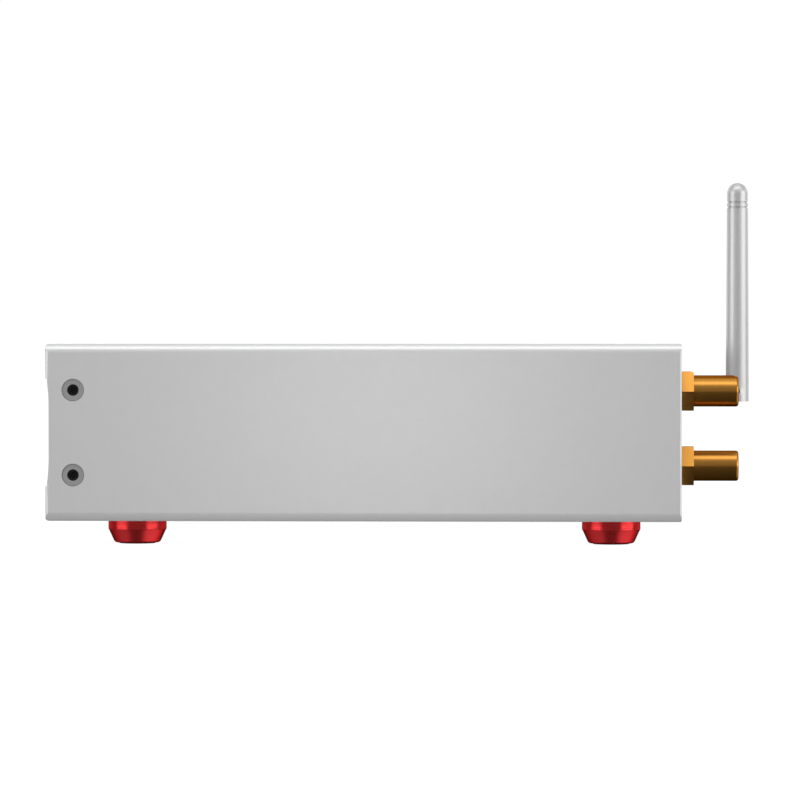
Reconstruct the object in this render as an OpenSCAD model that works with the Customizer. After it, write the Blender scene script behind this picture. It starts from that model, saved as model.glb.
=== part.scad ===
// Desktop digital-to-analog converter in an extruded aluminium case.
// Millimetres, +Z up, front face towards -Y, rear sockets towards +Y.
// The origin is on the table, under the middle of the part's own box, front edge to antenna.

/* [Case] */
// Width of the case
case_w = 210; // [204:1:230]
// Depth of the case, front edge to rear edge
case_d = 172; // [170:1:190]
// Height of the case without its feet
case_h = 48; // [47:0.5:52]
// Wall of the extruded sleeve
wall = 2.5; // [2.3:0.1:2.8]
// Outer radius of the sleeve's long edges
edge_r = 2.4; // [1.6:0.1:2.8]
// Inner radius of the sleeve's long edges
inner_r = 1; // [0.5:0.1:1.5]
// Rounding of the front rim
front_rim_r = 0.9; // [0.4:0.1:1.2]
// Rounding of the rear rim
rear_rim_r = 0.5; // [0.2:0.1:0.8]
// Gap between an end panel and the sleeve
panel_gap = 0.1; // [0.05:0.05:0.2]
// Side of the square screw channels in the corners
channel_s = 7; // [6.5:0.1:7.5]

/* [Fasteners] */
// Shank radius of the M3 screws
m3_r = 1.45; // [1.4:0.01:1.5]
// Head radius of the M3 pan head screws
m3_head_r = 2.8; // [2.6:0.1:3]
// Head height of the M3 pan head screws
m3_head_t = 1.7; // [1.5:0.1:1.9]
// Radial clearance of screws, pins and shafts in their holes
hole_gap = 0.05; // [0.03:0.01:0.08]

/* [Front panel] */
// Thickness of the front panel block
front_t = 12; // [11.5:0.5:13]
// Height of the concave band across the front
scoop_h = 29.2; // [26:0.2:31]
// Depth of the band at its middle
scoop_d = 1; // [0.8:0.1:1.3]
// Depth of the band where it starts
scoop_step = 0.4; // [0.2:0.1:0.6]
// Distance from the front edge to the back of the web
web_y = 5; // [4.6:0.1:5.4]
// Width of the solid ends beside the rear pocket
pocket_end = 10; // [9:0.5:11]
// Height of the rear pocket
pocket_h = 32; // [30:0.5:34]
// Radius of the head of a side screw
side_head_r = 2.95; // [2.8:0.05:3]
// Depth of a side screw's head under the surface
side_head_sink = 0.35; // [0.2:0.05:0.45]
// Height of a side screw's head
side_head_t = 1.25; // [1:0.05:1.4]
// Radius of the round mouth of a side screw's socket
side_socket_r = 1.55; // [1.4:0.05:1.6]
// Distance of the side screws behind the front edge
side_screw_y = 7.6; // [7:0.1:8]
// Spacing of the two side screws
side_screw_pitch = 23; // [21:0.5:24]

/* [Front controls] */
// Width of the display window
window_w = 74; // [70:1:80]
// Height of the display window
window_h = 17; // [15:0.5:18]
// Thickness of the display window
window_t = 1.5; // [1.2:0.1:1.8]
// Width of the lip that the window rests on
window_lip = 1.5; // [1:0.1:2]
// Radius of the power button
power_r = 5; // [4:0.1:5.5]
// Distance of the power button from the case's side
power_inset = 21; // [20:0.5:23]
// Radius of the three small buttons
small_button_r = 3.4; // [3:0.1:3.8]
// Spacing of the three small buttons
small_button_pitch = 13; // [12:0.5:13.5]
// Travel of the buttons
button_travel = 0.5; // [0.3:0.05:0.6]
// Radial gap round a button
button_gap = 0.15; // [0.1:0.05:0.2]
// Thickness of a button's retaining flange
flange_t = 1; // [0.8:0.1:1.1]
// Height of the bosses that carry the display board
boss_h = 4; // [3.9:0.1:4.4]
// Height of the push switches on the display board
tact_h = 1.6; // [1.4:0.1:1.8]
// Thickness of the display board
display_board_t = 1.2; // [1:0.1:1.6]

/* [Rear panel] */
// Thickness of the rear panel
rear_t = 2; // [1.8:0.1:2.3]
// Depth of the rear panel's face inside the sleeve's rim
rear_recess = 2.5; // [2.3:0.1:2.8]

/* [Feet] */
// Height from the table to the case
foot_h = 6.7; // [6.6:0.1:8]
// Largest radius of a foot
foot_r = 8; // [7.5:0.1:8.5]
// Radius of a foot's cone at the height of the lower rounding
foot_low_r = 6.7; // [6.4:0.1:7]
// Height of a foot's upper band
foot_band = 2.9; // [2.7:0.1:3.3]
// Rounding at the bottom of a foot
foot_round = 1.1; // [0.8:0.1:1.4]
// Height that the rubber pad stands below the metal
pad_proud = 0.2; // [0.2:0.1:0.6]
// Radius of the rubber pad
pad_r = 4.9; // [4.7:0.1:5.1]
// Distance of the feet from the case's sides
foot_inset = 20; // [18:0.5:22]
// Distance of the front feet behind the front edge
foot_front = 23; // [21:0.5:25]
// Distance of the rear feet before the rear edge
foot_back = 19; // [17:0.5:21]
// Shank radius of the foot screws
foot_screw_r = 1.95; // [1.8:0.05:2]

/* [Phono sockets] */
// Radius of the socket's barrel
rca_r = 4.15; // [4.1:0.01:4.2]
// Length of the barrel beyond the hexagon
rca_len = 12.2; // [11:0.1:13]
// Rounding of the barrel's lip
rca_lip_r = 0.7; // [0.5:0.05:0.75]
// Hexagon across flats
rca_hex_af = 10.5; // [10:0.1:11]
// Thickness of the hexagon
rca_hex_t = 3.8; // [3:0.1:4]
// Thickness of the coloured washer
rca_washer_t = 2.2; // [1.8:0.1:2.4]
// Radius of the coloured washer
rca_washer_r = 6; // [5.6:0.1:6.4]
// Radius of the thread that passes through the panel
rca_thread_r = 3.9; // [3.8:0.05:4]
// Radius of the white core
rca_core_r = 3.3; // [3.2:0.02:3.34]
// Bore radius of the centre contact
rca_bore_r = 1.7; // [1.65:0.01:1.75]
// Distance of the output sockets from the case's side
rca_inset = 21; // [20:0.5:23]
// Drop of the upper sockets below the case's top
upper_drop = 13; // [12.5:0.1:13.5]
// Spacing of the upper and lower output sockets
rca_pitch = 20.3; // [19:0.1:21]

/* [Antenna] */
// Distance of the antenna socket from the case's mains side
antenna_inset = 83; // [82:0.5:84]
// Drop of the antenna socket below the case's top
antenna_socket_drop = 14; // [13.5:0.5:17]
// Distance from the rear panel's face to the hinge
antenna_reach = 20.6; // [20:0.1:23]
// Height of the antenna above its hinge
antenna_rise = 61.7; // [50:0.1:63]
// Depth of the antenna below its hinge
antenna_drop = 3.1; // [2.9:0.1:4.2]
// Radius at the antenna's bottom
antenna_r = 3.45; // [3.15:0.05:3.6]
// Radius under the antenna's cap
antenna_top_r = 3.15; // [2.7:0.05:3.2]
// Width of the elbow's tongue
tongue_w = 3; // [2.6:0.1:3.2]
// Side gap between the tongue and the fork
tongue_gap = 0.1; // [0.05:0.05:0.2]
// Radius of the hinge pin
hinge_pin_r = 0.75; // [0.6:0.05:0.9]
// Radius of the coupling nut
coupling_r = 4.2; // [4:0.1:4.4]
// Radius of the socket's thread
socket_thread_r = 3.1; // [3:0.05:3.15]

/* [Digital sockets] */
// Distance of the coaxial and optical sockets from the side
coax_inset = 59; // [58:0.5:60]
// Distance of the USB socket from the case's side
usb_inset = 85; // [83:0.5:86]
// Outer width of the USB socket's shell
usb_w = 12; // [11.6:0.1:12.4]
// Outer height of the USB socket's shell
usb_h = 10.8; // [10.5:0.1:11.2]
// Depth of the USB socket's shell
usb_depth = 16.5; // [15:0.5:18]
// Width of the optical socket
optical_w = 13.4; // [12.5:0.1:14]
// Height of the optical socket
optical_h = 10.4; // [10.2:0.1:11]
// Depth of the optical socket
optical_depth = 14; // [13:0.5:15]
// Width of the optical socket's mouth
optical_mouth_w = 8.4; // [8:0.1:9]
// Height of the optical socket's mouth
optical_mouth_h = 7.4; // [7:0.1:7.6]

/* [Mains] */
// Distance of the mains inlet from the case's side
inlet_inset = 35; // [34:0.5:36]
// Width of the inlet's body
inlet_w = 27; // [26.6:0.1:27.6]
// Height of the inlet's body
inlet_h = 27.6; // [27.2:0.1:28.2]
// Depth of the inlet's body behind the panel
inlet_depth = 24; // [23.5:0.5:26]
// Thickness of the inlet's flange
inlet_flange_t = 2; // [1.6:0.1:2.1]
// Width of the inlet's flange beyond its body
inlet_flange_w = 2.2; // [1.8:0.1:2.6]
// Travel of the fuse drawer
drawer_travel = 20; // [19.5:0.5:22]
// Distance of the rocker switch from the case's side
switch_inset = 67; // [66:0.5:69]
// Width of the switch's body
switch_w = 12.8; // [12.4:0.1:13.2]
// Height of the switch's body
switch_h = 18.8; // [18.4:0.1:19.2]
// Depth of the switch's body behind the panel
switch_depth = 13; // [12.5:0.5:15]
// Tilt of the rocker to each side
rocker_tilt = 9; // [7:0.5:10]

/* [Boards] */
// Height of the pillars under the main board
standoff_h = 6; // [5.6:0.1:6.4]
// Thickness of the main board
board_t = 1.6; // [1.4:0.1:1.8]
// Distance of the board's front edge behind the front edge
board_front = 20; // [19:0.5:22]
// Gap between the board and the screw channels
board_gap = 0.5; // [0.3:0.1:2]

/* [Transformer] */
// Outer radius of the toroidal transformer
toroid_r = 33; // [31:0.5:34]
// Radius of the hole in the transformer
toroid_hole_r = 9.5; // [9:0.5:12]
// Height of the transformer
toroid_h = 28; // [26:0.5:30]
// Thickness of the transformer's rubber pads
toroid_pad_t = 1.2; // [1:0.1:1.5]
// Gap between the transformer and the screw channels
toroid_gap = 0.5; // [0.3:0.1:1]
// Distance of the transformer behind the front edge
toroid_front = 66; // [62:1:70]

/* [Hidden] */
$fn = 64;

// Planes and centres of the case
overall_d = case_d - rear_recess + antenna_reach + antenna_r;
yf = -overall_d / 2;
yr = yf + case_d;
zb = foot_h;
zt = foot_h + case_h;
zc = foot_h + case_h / 2;
side_x = case_w / 2;
in_x = side_x - wall;
in_zb = zb + wall;
in_zt = zt - wall;
in_w = case_w - 2 * wall;
in_h = case_h - 2 * wall;
cut = 1;        // overshoot of a cut past the face it opens
channel_bite = 0.6;  // depth that a channel is joined into the wall
channel_gap = 0.3;   // gap between the front panel and the channels

// Front panel
scoop_rise = scoop_d - scoop_step;
scoop_flat = scoop_h * 0.5;          // straight stretch in the middle of the band
scoop_run = (scoop_h - scoop_flat) / 2;
scoop_r = (pow(scoop_run, 2) + pow(scoop_rise, 2)) / (2 * scoop_rise);
face_y = yf + scoop_d + 0.05;       // faces of the window and the buttons
web_in = yf + web_y;
panel_in = yf + front_t;
dboard_y = web_in + boss_h;         // front of the display board
dboard_back = dboard_y + display_board_t;
dboard_end = 3;                      // gap between the display board and the pocket's ends
dboard_w = case_w - 2 * wall - 2 * pocket_end - 2 * dboard_end;
dboard_h = 27;
pocket_w = in_w - 2 * pocket_end;
board_boss_r = 3;
boss_beside = 9;                     // from the window's end to a boss
board_boss_x = window_w / 2 + boss_beside;
board_boss_z = 10.5;
board_screw_r = 1.2;
board_screw_len = 5;
board_head_r = 2.2;
board_head_t = 1.4;
flange_gap = 0.15;
flange_over = 1;                    // reach of a button's flange past its cap
tact_floor = 0.4;
tact_s = 6;
stem_r = 1.6;
power_x = -side_x + power_inset;
light_beside = 14;
light_x = power_x + light_beside;
light_r = 1.2;
menu_x = side_x - power_inset;
filter_x = menu_x - small_button_pitch;
source_x = filter_x - small_button_pitch;
window_gap = 0.1;
module_in = 8;                       // from the window's ends to the display module
module_under = 2.2;                  // from the window's long edges to the display module
module_w = window_w - 2 * module_in;
module_h = window_h - 2 * module_under;
receiver_in = 4;
receiver_w = 4.8;
receiver_h = 6;
receiver_lens_r = 2;
receiver_x = window_w / 2 - receiver_in;
side_bore_r = side_head_r + 0.1;
side_screw_len = 9;
side_hex_r = 1.15;                   // hexagon socket, centre to corner

// Rear panel
yp_out = yr - rear_recess;
yp_in = yp_out - rear_t;
rear_screw_in = channel_s / 2 - 0.2;   // from the inner corner to the screw's axis
rear_screw_len = 10;
screw_x = in_x - rear_screw_in;
screw_zt = in_zt - rear_screw_in;
screw_zb = in_zb + rear_screw_in;

// Feet
foot_x = side_x - foot_inset;
foot_yf = yf + foot_front;
foot_yr = yr - foot_back;
foot_spots = [[-foot_x, foot_yf], [foot_x, foot_yf], [-foot_x, foot_yr], [foot_x, foot_yr]];
pad_gap = 0.1;
pad_seat = 1;                        // depth of the pad's seat in the foot
foot_head_r = 3.6;
foot_head_t = 2.2;

// Phono sockets
upper_z = zt - upper_drop;
lower_z = upper_z - rca_pitch;
rca_x = side_x - rca_inset;
coax_x = side_x - coax_inset;
phono_spots = [[rca_x, upper_z], [rca_x, lower_z], [coax_x, upper_z]];
rca_hex_y = yp_out + rca_washer_t;
rca_barrel_y = rca_hex_y + rca_hex_t;
rca_tip_y = rca_barrel_y + rca_len;
rca_tail_y = yp_in - 7;
rca_hole_r = rca_thread_r + 0.8;
rca_nut_t = 2.2;
rca_inner_washer_t = 0.8;
rca_core_sink = 0.9;                 // depth of the core's face inside the lip
rca_contact_wall = 0.4;
rca_contact_r = rca_bore_r + rca_contact_wall;
rca_bore_len = 11;
rca_face_t = 0.5;                    // thickness of the core's front web
rca_pin_r = 0.9;
rca_pin_len = 4.5;

// Antenna
antenna_x = -side_x + antenna_inset;
antenna_z = zt - antenna_socket_drop;
hinge_y = yp_out + antenna_reach;
collar_end = hinge_y - 5.5;
collar_y = collar_end - 4.1;
coupling_end = collar_y - 0.2;
coupling_y = yp_out + 2.6;
coupling_lip = 2;
spigot_r = 2.2;
spigot_flange_r = 2.8;
spigot_flange_t = 0.5;
collar_r = 3.2;
fork_wall = 0.85;                    // sheath's wall behind the tongue's round end
tongue_end_gap = 0.1;
tongue_r = antenna_r - fork_wall - tongue_end_gap;
fork_top = antenna_z + tongue_r + 0.4;
antenna_tip_z = antenna_z + antenna_rise;
antenna_bottom_z = antenna_z - antenna_drop;
antenna_bore_r = 1.5;
cap_len = 6;
cap_z = antenna_tip_z - cap_len;
groove_w = 0.5;
groove_d = 0.3;
groove_pitch = 1.45;
dome_r = antenna_top_r - 0.05;
antenna_tail = 7;                    // length of the socket's tail behind the panel
socket_nut_t = 2;
socket_nut_af = 8;
socket_tip = coupling_end - coupling_lip - spigot_flange_t - 0.4;

// Main board and what stands on it
board_z = in_zb + standoff_h;
board_top = board_z + board_t;
toroid_x = -in_x + channel_s + toroid_gap + toroid_r;
toroid_y = yf + toroid_front;
board_beside = 5;                    // gap between the transformer and the main board
board_back = 13.5;                   // from the board's rear edge to the rear panel
tongue_half = 9;
board_x0 = toroid_x + toroid_r + board_beside;
board_x1 = in_x - channel_s - board_gap;
board_y0 = yf + board_front;
board_y1 = yp_in - board_back;
usb_x = side_x - usb_inset;
tongue_x0 = usb_x - tongue_half;
tongue_x1 = coax_x + tongue_half;
pillar_side = 6;                     // from the board's sides to the pillars
pillar_end = 12;                     // from the board's ends to the pillars
pillar_xs = [board_x0 + pillar_side, board_x1 - pillar_side];
pillar_ys = [board_y0 + pillar_end, (board_y0 + board_y1) / 2, board_y1 - pillar_end];
pillar_r = 2.9;

// Reservoir capacitors and the heat sink beside them
cap_r = 8;
cap_h = 26;
cap_in = 18;
cap_front = 22;
cap_pitch = 19;
cap_count = 4;
cap_bead_z = 2.5;                    // pressed ring near a can's foot
cap_bead_w = 1;
cap_bead_d = 0.5;
cap_x = board_x0 + cap_in;
cap_y0 = board_y0 + cap_front;
cap_y1 = cap_y0 + (cap_count - 1) * cap_pitch;
sink_beside = 8;
sink_front = 26;
sink_fins = 7;
sink_pitch = 5;
sink_h = 24;
sink_web = 3;
fin_len = 10.5;
fin_t = 1.4;
sink_x = cap_x + cap_r + sink_beside;
sink_y = board_y0 + sink_front;

// Other components, each with its size and its lowest corner's place on the board
plug_h = 7;
regulator = [4.8, 10, 15];
regulator_lift = 4;
regulator_gap = 0.1;
regulator_ys = [sink_y + 1, sink_y + 24];
regulator_leg = [0.8, 0.8, regulator_lift + 0.3];
leg_in = 1.6;
leg_side = 1.9;
leg_pitch = 2.7;
relay = [15, 10, 10];
relay_in = 26;
relay_back = 50;
relay_pitch = 18;
amplifier = [5, 6, 1.6];
amplifier_in = 46;
amplifier_back = 60;
amplifier_pitch = 12;
converter = [12, 12, 1.4];
converter_in = 68;
converter_back = 54;
usb_chip = [10, 10, 1.4];
usb_chip_in = 6;
usb_chip_back = 38;
crystal = [7, 5, 3];
crystal_beside = 10;
crystal_back = 36;
film_cap = [7, 5, 9];
film_cap_in = 64;
film_cap_front = 10;
film_cap_pitch = 9;
radio = [14, 18, 2.6];
radio_beside = 9;
radio_back = 20;
radio_x = antenna_x + radio_beside;
radio_y = board_y1 - radio_back;
secondary_header = [5, 12, plug_h];
secondary_beside = 14;
secondary_back = 12;
secondary_plug = [cap_x + secondary_beside, board_y1 - secondary_back, board_top];
output_header = [16, 5, plug_h];
output_in = 33;
output_back = 8;
output_plug = [board_x1 - output_in, board_y1 - output_back, board_top];

// Leads
touch = [0, 0.05, 0];
mains_lead_r = 1.1;
signal_lead_r = 0.8;
lead_clear = 4;                      // room between the transformer's leads and the capacitors
header_t = 2.4;
header_w = 16;
header_h = 4.8;
ribbon_w = 12;
ribbon_t = 0.4;
ribbon_beside = 15;
ribbon_x = board_boss_x + ribbon_beside;
ribbon_end = board_y0 + 1;
ribbon_socket_l = 3.6;
ribbon_socket_h = 4;
function blade_tab(i) = [inlet_x + blade_spots[i][0], tab_y, socket_z + blade_spots[i][1]];
function phono_tail(i) = [phono_spots[i][0], rca_tail_y - rca_pin_len, phono_spots[i][1]];
// A point outside the transformer's side, at an angle from +X and a distance from its surface.
function toroid_side(angle, out, z) =
    [toroid_x + (toroid_r + out) * cos(angle), toroid_y + (toroid_r + out) * sin(angle), z];

// Mains inlet and switch
inlet_x = -side_x + inlet_inset;
inlet_back = yp_out - inlet_depth;
inlet_face = yp_out + inlet_flange_t;
socket_w = 24.4;                     // the connector's recess
socket_h = 16.8;
socket_up = 4.4;
socket_z = zc + socket_up;
socket_depth = 18;
socket_chamfer = 4;
blade_t = 2;
blade_h = 4;
blade_tip_in = 3;
blade_pitch = 7;
blade_spots = [[-blade_pitch, -1.5], [blade_pitch, -1.5], [0, 2.5]];
tab_len = 7;
tab_t = 0.8;
tab_y = inlet_back - tab_len;
drawer_w = 22;
drawer_h = 7;
drawer_up = -9.6;
drawer_z = zc + drawer_up;
drawer_engage = 3;                   // length of the drawer that stays in at full travel
drawer_depth = drawer_travel + drawer_engage;
drawer_gap = 0.15;
fuse_r = 2.55;
fuse_len = 20;
switch_x = -side_x + switch_inset;
switch_face = yp_out + 1.5;
switch_back = yp_out - switch_depth;
switch_bezel = 1.2;
rocker_y = switch_face - 5.6;
rocker_sink = 1.4;                   // depth of the rocker's middle inside the bezel
rocker_gap = 1;                      // gap between the rocker's ends and its opening
rocker_half = 7.4;
rocker_w = 9.6;
rocker_pin_r = 1;
switch_tab_y = switch_back - tab_len;
switch_tab_x = 3.2;
switch_tab_z = 5;
earth_spot = [inlet_x + 24, inlet_back - 24, in_zb];
earth_h = 3;

// Helpers

// A slab between two planes across Y, from an outline in X and Z.
module slab_y(y0, y1) {
    translate([0, y1, 0]) rotate([90, 0, 0]) linear_extrude(y1 - y0) children();
}

// A beam between two planes across X, from an outline in Y and Z.
module beam_x(x0, x1) {
    translate([x0, 0, 0]) rotate([90, 0, 90]) linear_extrude(x1 - x0) children();
}

module rod_y(r, y0, y1) {
    translate([0, y1, 0]) rotate([90, 0, 0]) cylinder(r = r, h = y1 - y0);
}

module rod_x(r, x0, x1) {
    translate([x0, 0, 0]) rotate([0, 90, 0]) cylinder(r = r, h = x1 - x0);
}

module hex_y(af, y0, y1) {
    translate([0, y1, 0]) rotate([90, 0, 0]) cylinder(r = af / 2 / cos(30), h = y1 - y0, $fn = 6);
}

module block(xs, ys, zs) {
    translate([xs[0], ys[0], zs[0]]) cube([xs[1] - xs[0], ys[1] - ys[0], zs[1] - zs[0]]);
}

// A turned shape about the Y axis. The outline's second coordinate is Y.
module turn_y() {
    rotate([-90, 0, 0]) rotate_extrude() children();
}

module rounded(w, h, r) {
    square([w - 2 * r, h], center = true);
    square([w, h - 2 * r], center = true);
    for (x = [-w / 2 + r, w / 2 - r], y = [-h / 2 + r, h / 2 - r])
        translate([x, y]) circle(r = r);
}

// Outline of the case from front edge to rear edge, with its rims rounded.
module rim_outline(h) {
    translate([yf + front_rim_r, -h / 2]) square([case_d - front_rim_r - rear_rim_r, h]);
    translate([yf, -h / 2 + front_rim_r]) square([case_d / 2, h - 2 * front_rim_r]);
    translate([yr - case_d / 2, -h / 2 + rear_rim_r]) square([case_d / 2, h - 2 * rear_rim_r]);
    for (s = [-1, 1]) {
        translate([yf + front_rim_r, s * (h / 2 - front_rim_r)]) circle(r = front_rim_r);
        translate([yr - rear_rim_r, s * (h / 2 - rear_rim_r)]) circle(r = rear_rim_r);
    }
}

// The recessed band in side view: a straight middle that curves out to a small step at each edge.
module scoop_outline() {
    intersection() {
        union() {
            translate([yf - cut, zc - scoop_flat / 2]) square([cut + scoop_d, scoop_flat]);
            for (s = [-1, 1])
                translate([yf + scoop_d - scoop_r, zc + s * scoop_flat / 2]) circle(r = scoop_r, $fn = 250);
        }
        translate([yf - cut, zc - scoop_h / 2]) square([cut + 2 * scoop_d, scoop_h]);
    }
}

module scoop_cut() {
    beam_x(-side_x - cut, side_x + cut) scoop_outline();
}

// Screw with a pan head and a cross recess: the head's seat is at z 0 and the shank points down.
module pan_screw(r, len, head_r, head_t) {
    recess = 0.6;                    // share of the head's radius that the cross reaches
    translate([0, 0, -len]) cylinder(r = r, h = len + head_t * 0.3);
    difference() {
        cylinder(r = head_r, h = head_t);
        for (turn = [0, 90]) rotate(turn)
            translate([-head_r * recess, -head_r * 0.12, head_t * 0.45])
                cube([2 * head_r * recess, head_r * 0.24, head_t]);
    }
}

// A smooth route through the given points, each bend's pull no longer than its own stretch.
function unit(v) = v / norm(v);
function bearing(p, i) = unit(p[min(i + 1, len(p) - 1)] - p[max(i - 1, 0)]);
function route_point(p, i, t) =
    let (pull = norm(p[i + 1] - p[i]), t2 = t * t, t3 = t * t * t)
    (2 * t3 - 3 * t2 + 1) * p[i] + (t3 - 2 * t2 + t) * pull * bearing(p, i)
        + (3 * t2 - 2 * t3) * p[i + 1] + (t3 - t2) * pull * bearing(p, i + 1);
function route(p, steps) = concat(
    [for (i = [0:len(p) - 2]) for (j = [0:steps - 1]) route_point(p, i, j / steps)],
    [p[len(p) - 1]]);
function ring(at, t, r, sides, up) =
    let (s = unit(cross(t, up)), u = cross(s, t))
    [for (k = [0:sides - 1]) at + r * (cos(360 * k / sides) * s + sin(360 * k / sides) * u)];

// A round lead swept along a smooth route. up is never parallel to the route.
module lead(points, r, up = [1, 0, 0], steps = 5, sides = 8) {
    p = route(points, steps);
    n = len(p);
    last = len(points) - 1;
    headings = [for (i = [0:n - 1])
        i == 0 ? bearing(points, 0) : i == n - 1 ? bearing(points, last) : bearing(p, i)];
    first_face = [for (k = [sides - 1:-1:0]) k];
    last_face = [for (k = [0:sides - 1]) (n - 1) * sides + k];
    skin = [for (i = [0:n - 2]) for (k = [0:sides - 1])
        let (a = i * sides + k, b = i * sides + (k + 1) % sides)
        for (f = [[a, b, b + sides], [a, b + sides, a + sides]]) f];
    polyhedron(
        points = [for (i = [0:n - 1]) each ring(p[i], headings[i], r, sides, up)],
        faces = concat([first_face], skin, [last_face]),
        convexity = 6);
}

// Case

module sleeve() {
    color("silver") difference() {
        union() {
            difference() {
                intersection() {
                    beam_x(-side_x, side_x) translate([0, zc]) rim_outline(case_h);
                    slab_y(yf, yr) translate([0, zc]) rounded(case_w, case_h, edge_r);
                    translate([0, 0, zb]) linear_extrude(case_h)
                        rotate(90) mirror([0, 1]) rim_outline(case_w);
                }
                slab_y(yf - cut, yr + cut) translate([0, zc]) rounded(in_w, in_h, inner_r);
            }
            for (s = [-1, 1]) {
                xs = s < 0 ? [-in_x - channel_bite, channel_s - in_x]
                    : [in_x - channel_s, in_x + channel_bite];
                ys = [panel_in + channel_gap, yp_in];
                block(xs, ys, [in_zb - channel_bite, in_zb + channel_s]);
                block(xs, ys, [in_zt - channel_s, in_zt + channel_bite]);
            }
        }
        scoop_cut();
        for (x = [-screw_x, screw_x], z = [screw_zb, screw_zt])
            translate([x, 0, z]) rod_y(m3_r + hole_gap, yp_in - rear_screw_len - cut, yp_in + cut);
        for (z = [zc - side_screw_pitch / 2, zc + side_screw_pitch / 2])
            translate([0, yf + side_screw_y, z]) {
                rod_x(m3_r + hole_gap, -side_x - cut, side_x + cut);
                rod_x(side_bore_r, side_x - side_head_sink - side_head_t, side_x + cut);
                rod_x(side_bore_r, -side_x - cut, -side_x + side_head_sink + side_head_t);
            }
        for (p = foot_spots)
            translate([p[0], p[1], zb - cut]) cylinder(r = foot_screw_r + hole_gap, h = wall + 2 * cut);
        for (x = pillar_xs, y = pillar_ys)
            translate([x, y, zb]) sunk_hole();
        translate([toroid_x, toroid_y, zb]) sunk_hole();
    }
}

// Countersunk hole for an M3 screw that comes up through the floor.
module sunk_hole() {
    translate([0, 0, -cut]) cylinder(r = m3_r + hole_gap, h = wall + 2 * cut);
    translate([0, 0, -0.01]) cylinder(r1 = m3_head_r + 0.05, r2 = m3_r + hole_gap, h = m3_head_r - m3_r);
}

module front_panel() {
    color("silver") difference() {
        union() {
            difference() {
                slab_y(yf, panel_in) translate([0, zc])
                    rounded(in_w - 2 * panel_gap, in_h - 2 * panel_gap, inner_r);
                scoop_cut();
                slab_y(web_in, panel_in + cut) translate([0, zc]) rounded(pocket_w, pocket_h, 3);
            }
            for (x = [-board_boss_x, board_boss_x], z = [-board_boss_z, board_boss_z])
                translate([x, 0, zc + z]) rod_y(board_boss_r, web_in - 0.5, dboard_y);
        }
        slab_y(yf - cut, face_y + window_t) translate([0, zc])
            rounded(window_w + 2 * window_gap, window_h + 2 * window_gap, 1.5);
        slab_y(yf - cut, web_in + cut) translate([0, zc])
            rounded(window_w - 2 * window_lip, window_h - 2 * window_lip, 1);
        translate([power_x, 0, zc]) rod_y(power_r + button_gap, yf - cut, web_in + cut);
        for (x = [source_x, filter_x, menu_x])
            translate([x, 0, zc]) rod_y(small_button_r + button_gap, yf - cut, web_in + cut);
        translate([light_x, 0, zc]) rod_y(light_r + hole_gap, yf - cut, web_in + cut);
        for (x = [-board_boss_x, board_boss_x], z = [-board_boss_z, board_boss_z])
            translate([x, 0, zc + z]) rod_y(board_screw_r + hole_gap, web_in - 1, dboard_y + cut);
        for (z = [zc - side_screw_pitch / 2, zc + side_screw_pitch / 2])
            translate([0, yf + side_screw_y, z]) {
                rod_x(m3_r + hole_gap, in_x - side_screw_len, side_x);
                rod_x(m3_r + hole_gap, -side_x, -in_x + side_screw_len);
            }
    }
}

module rear_panel() {
    color("silver") difference() {
        slab_y(yp_in, yp_out) translate([0, zc]) rounded(in_w - 2 * panel_gap, in_h - 2 * panel_gap, inner_r);
        for (p = phono_spots)
            translate([p[0], 0, p[1]]) rod_y(rca_hole_r, yp_in - cut, yp_out + cut);
        translate([antenna_x, 0, antenna_z]) rod_y(socket_thread_r + hole_gap, yp_in - cut, yp_out + cut);
        slab_y(yp_in - cut, yp_out + cut) {
            translate([usb_x, board_top + usb_h / 2]) square([usb_w + 0.4, usb_h + 0.4], center = true);
            translate([coax_x, board_top + optical_h / 2])
                square([optical_w + 0.4, optical_h + 0.4], center = true);
            translate([inlet_x, zc]) square([inlet_w + 0.3, inlet_h + 0.3], center = true);
            translate([switch_x, zc]) square([switch_w + 0.3, switch_h + 0.3], center = true);
        }
        for (x = [-screw_x, screw_x], z = [screw_zb, screw_zt])
            translate([x, 0, z]) rod_y(m3_r + 0.15, yp_in - cut, yp_out + cut);
    }
}

// Low cylinder head screw on the +X side, with a round mouth over a hexagon socket.
module side_screw() {
    top = side_x - side_head_sink;
    seat = top - side_head_t;
    difference() {
        union() {
            rod_x(side_head_r, seat, top);
            rod_x(m3_r, in_x - side_screw_len + 2, seat + side_head_t / 2);
        }
        rod_x(side_socket_r, seat + side_head_t * 0.3, side_x);
        translate([seat - 1, 0, 0]) rotate([0, 90, 0]) cylinder(r = side_hex_r, h = 3, $fn = 6);
    }
}

module front_panel_screws() {
    color("dimgray") for (z = [zc - side_screw_pitch / 2, zc + side_screw_pitch / 2])
        translate([0, yf + side_screw_y, z]) {
            side_screw();
            mirror([1, 0, 0]) side_screw();
        }
}

module rear_panel_screws() {
    color("dimgray") for (x = [-screw_x, screw_x], z = [screw_zb, screw_zt])
        translate([x, yp_out, z]) rotate([-90, 0, 0]) pan_screw(m3_r, rear_screw_len, m3_head_r, m3_head_t);
}

// Feet

// Turned outline of a foot: an upper band, a cone, and a round that runs from the cone into the underside.
module foot_outline() {
    ease = 0.15;                     // eased edge between the cone and the band
    band_z = foot_h - foot_band;
    round_z = pad_proud + foot_round;
    slope = atan((foot_r - ease - foot_low_r) / (band_z - round_z));
    corner_r = foot_low_r - foot_round * tan(slope);
    run = foot_round / tan(45 + slope / 2);
    polygon([[0, pad_proud], [corner_r - run, pad_proud],
        [corner_r + run * sin(slope), pad_proud + run * cos(slope)],
        [foot_r - ease, band_z], [foot_r, band_z + ease], [foot_r, foot_h], [0, foot_h]]);
    translate([corner_r - run, round_z]) circle(r = foot_round);
}

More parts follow.
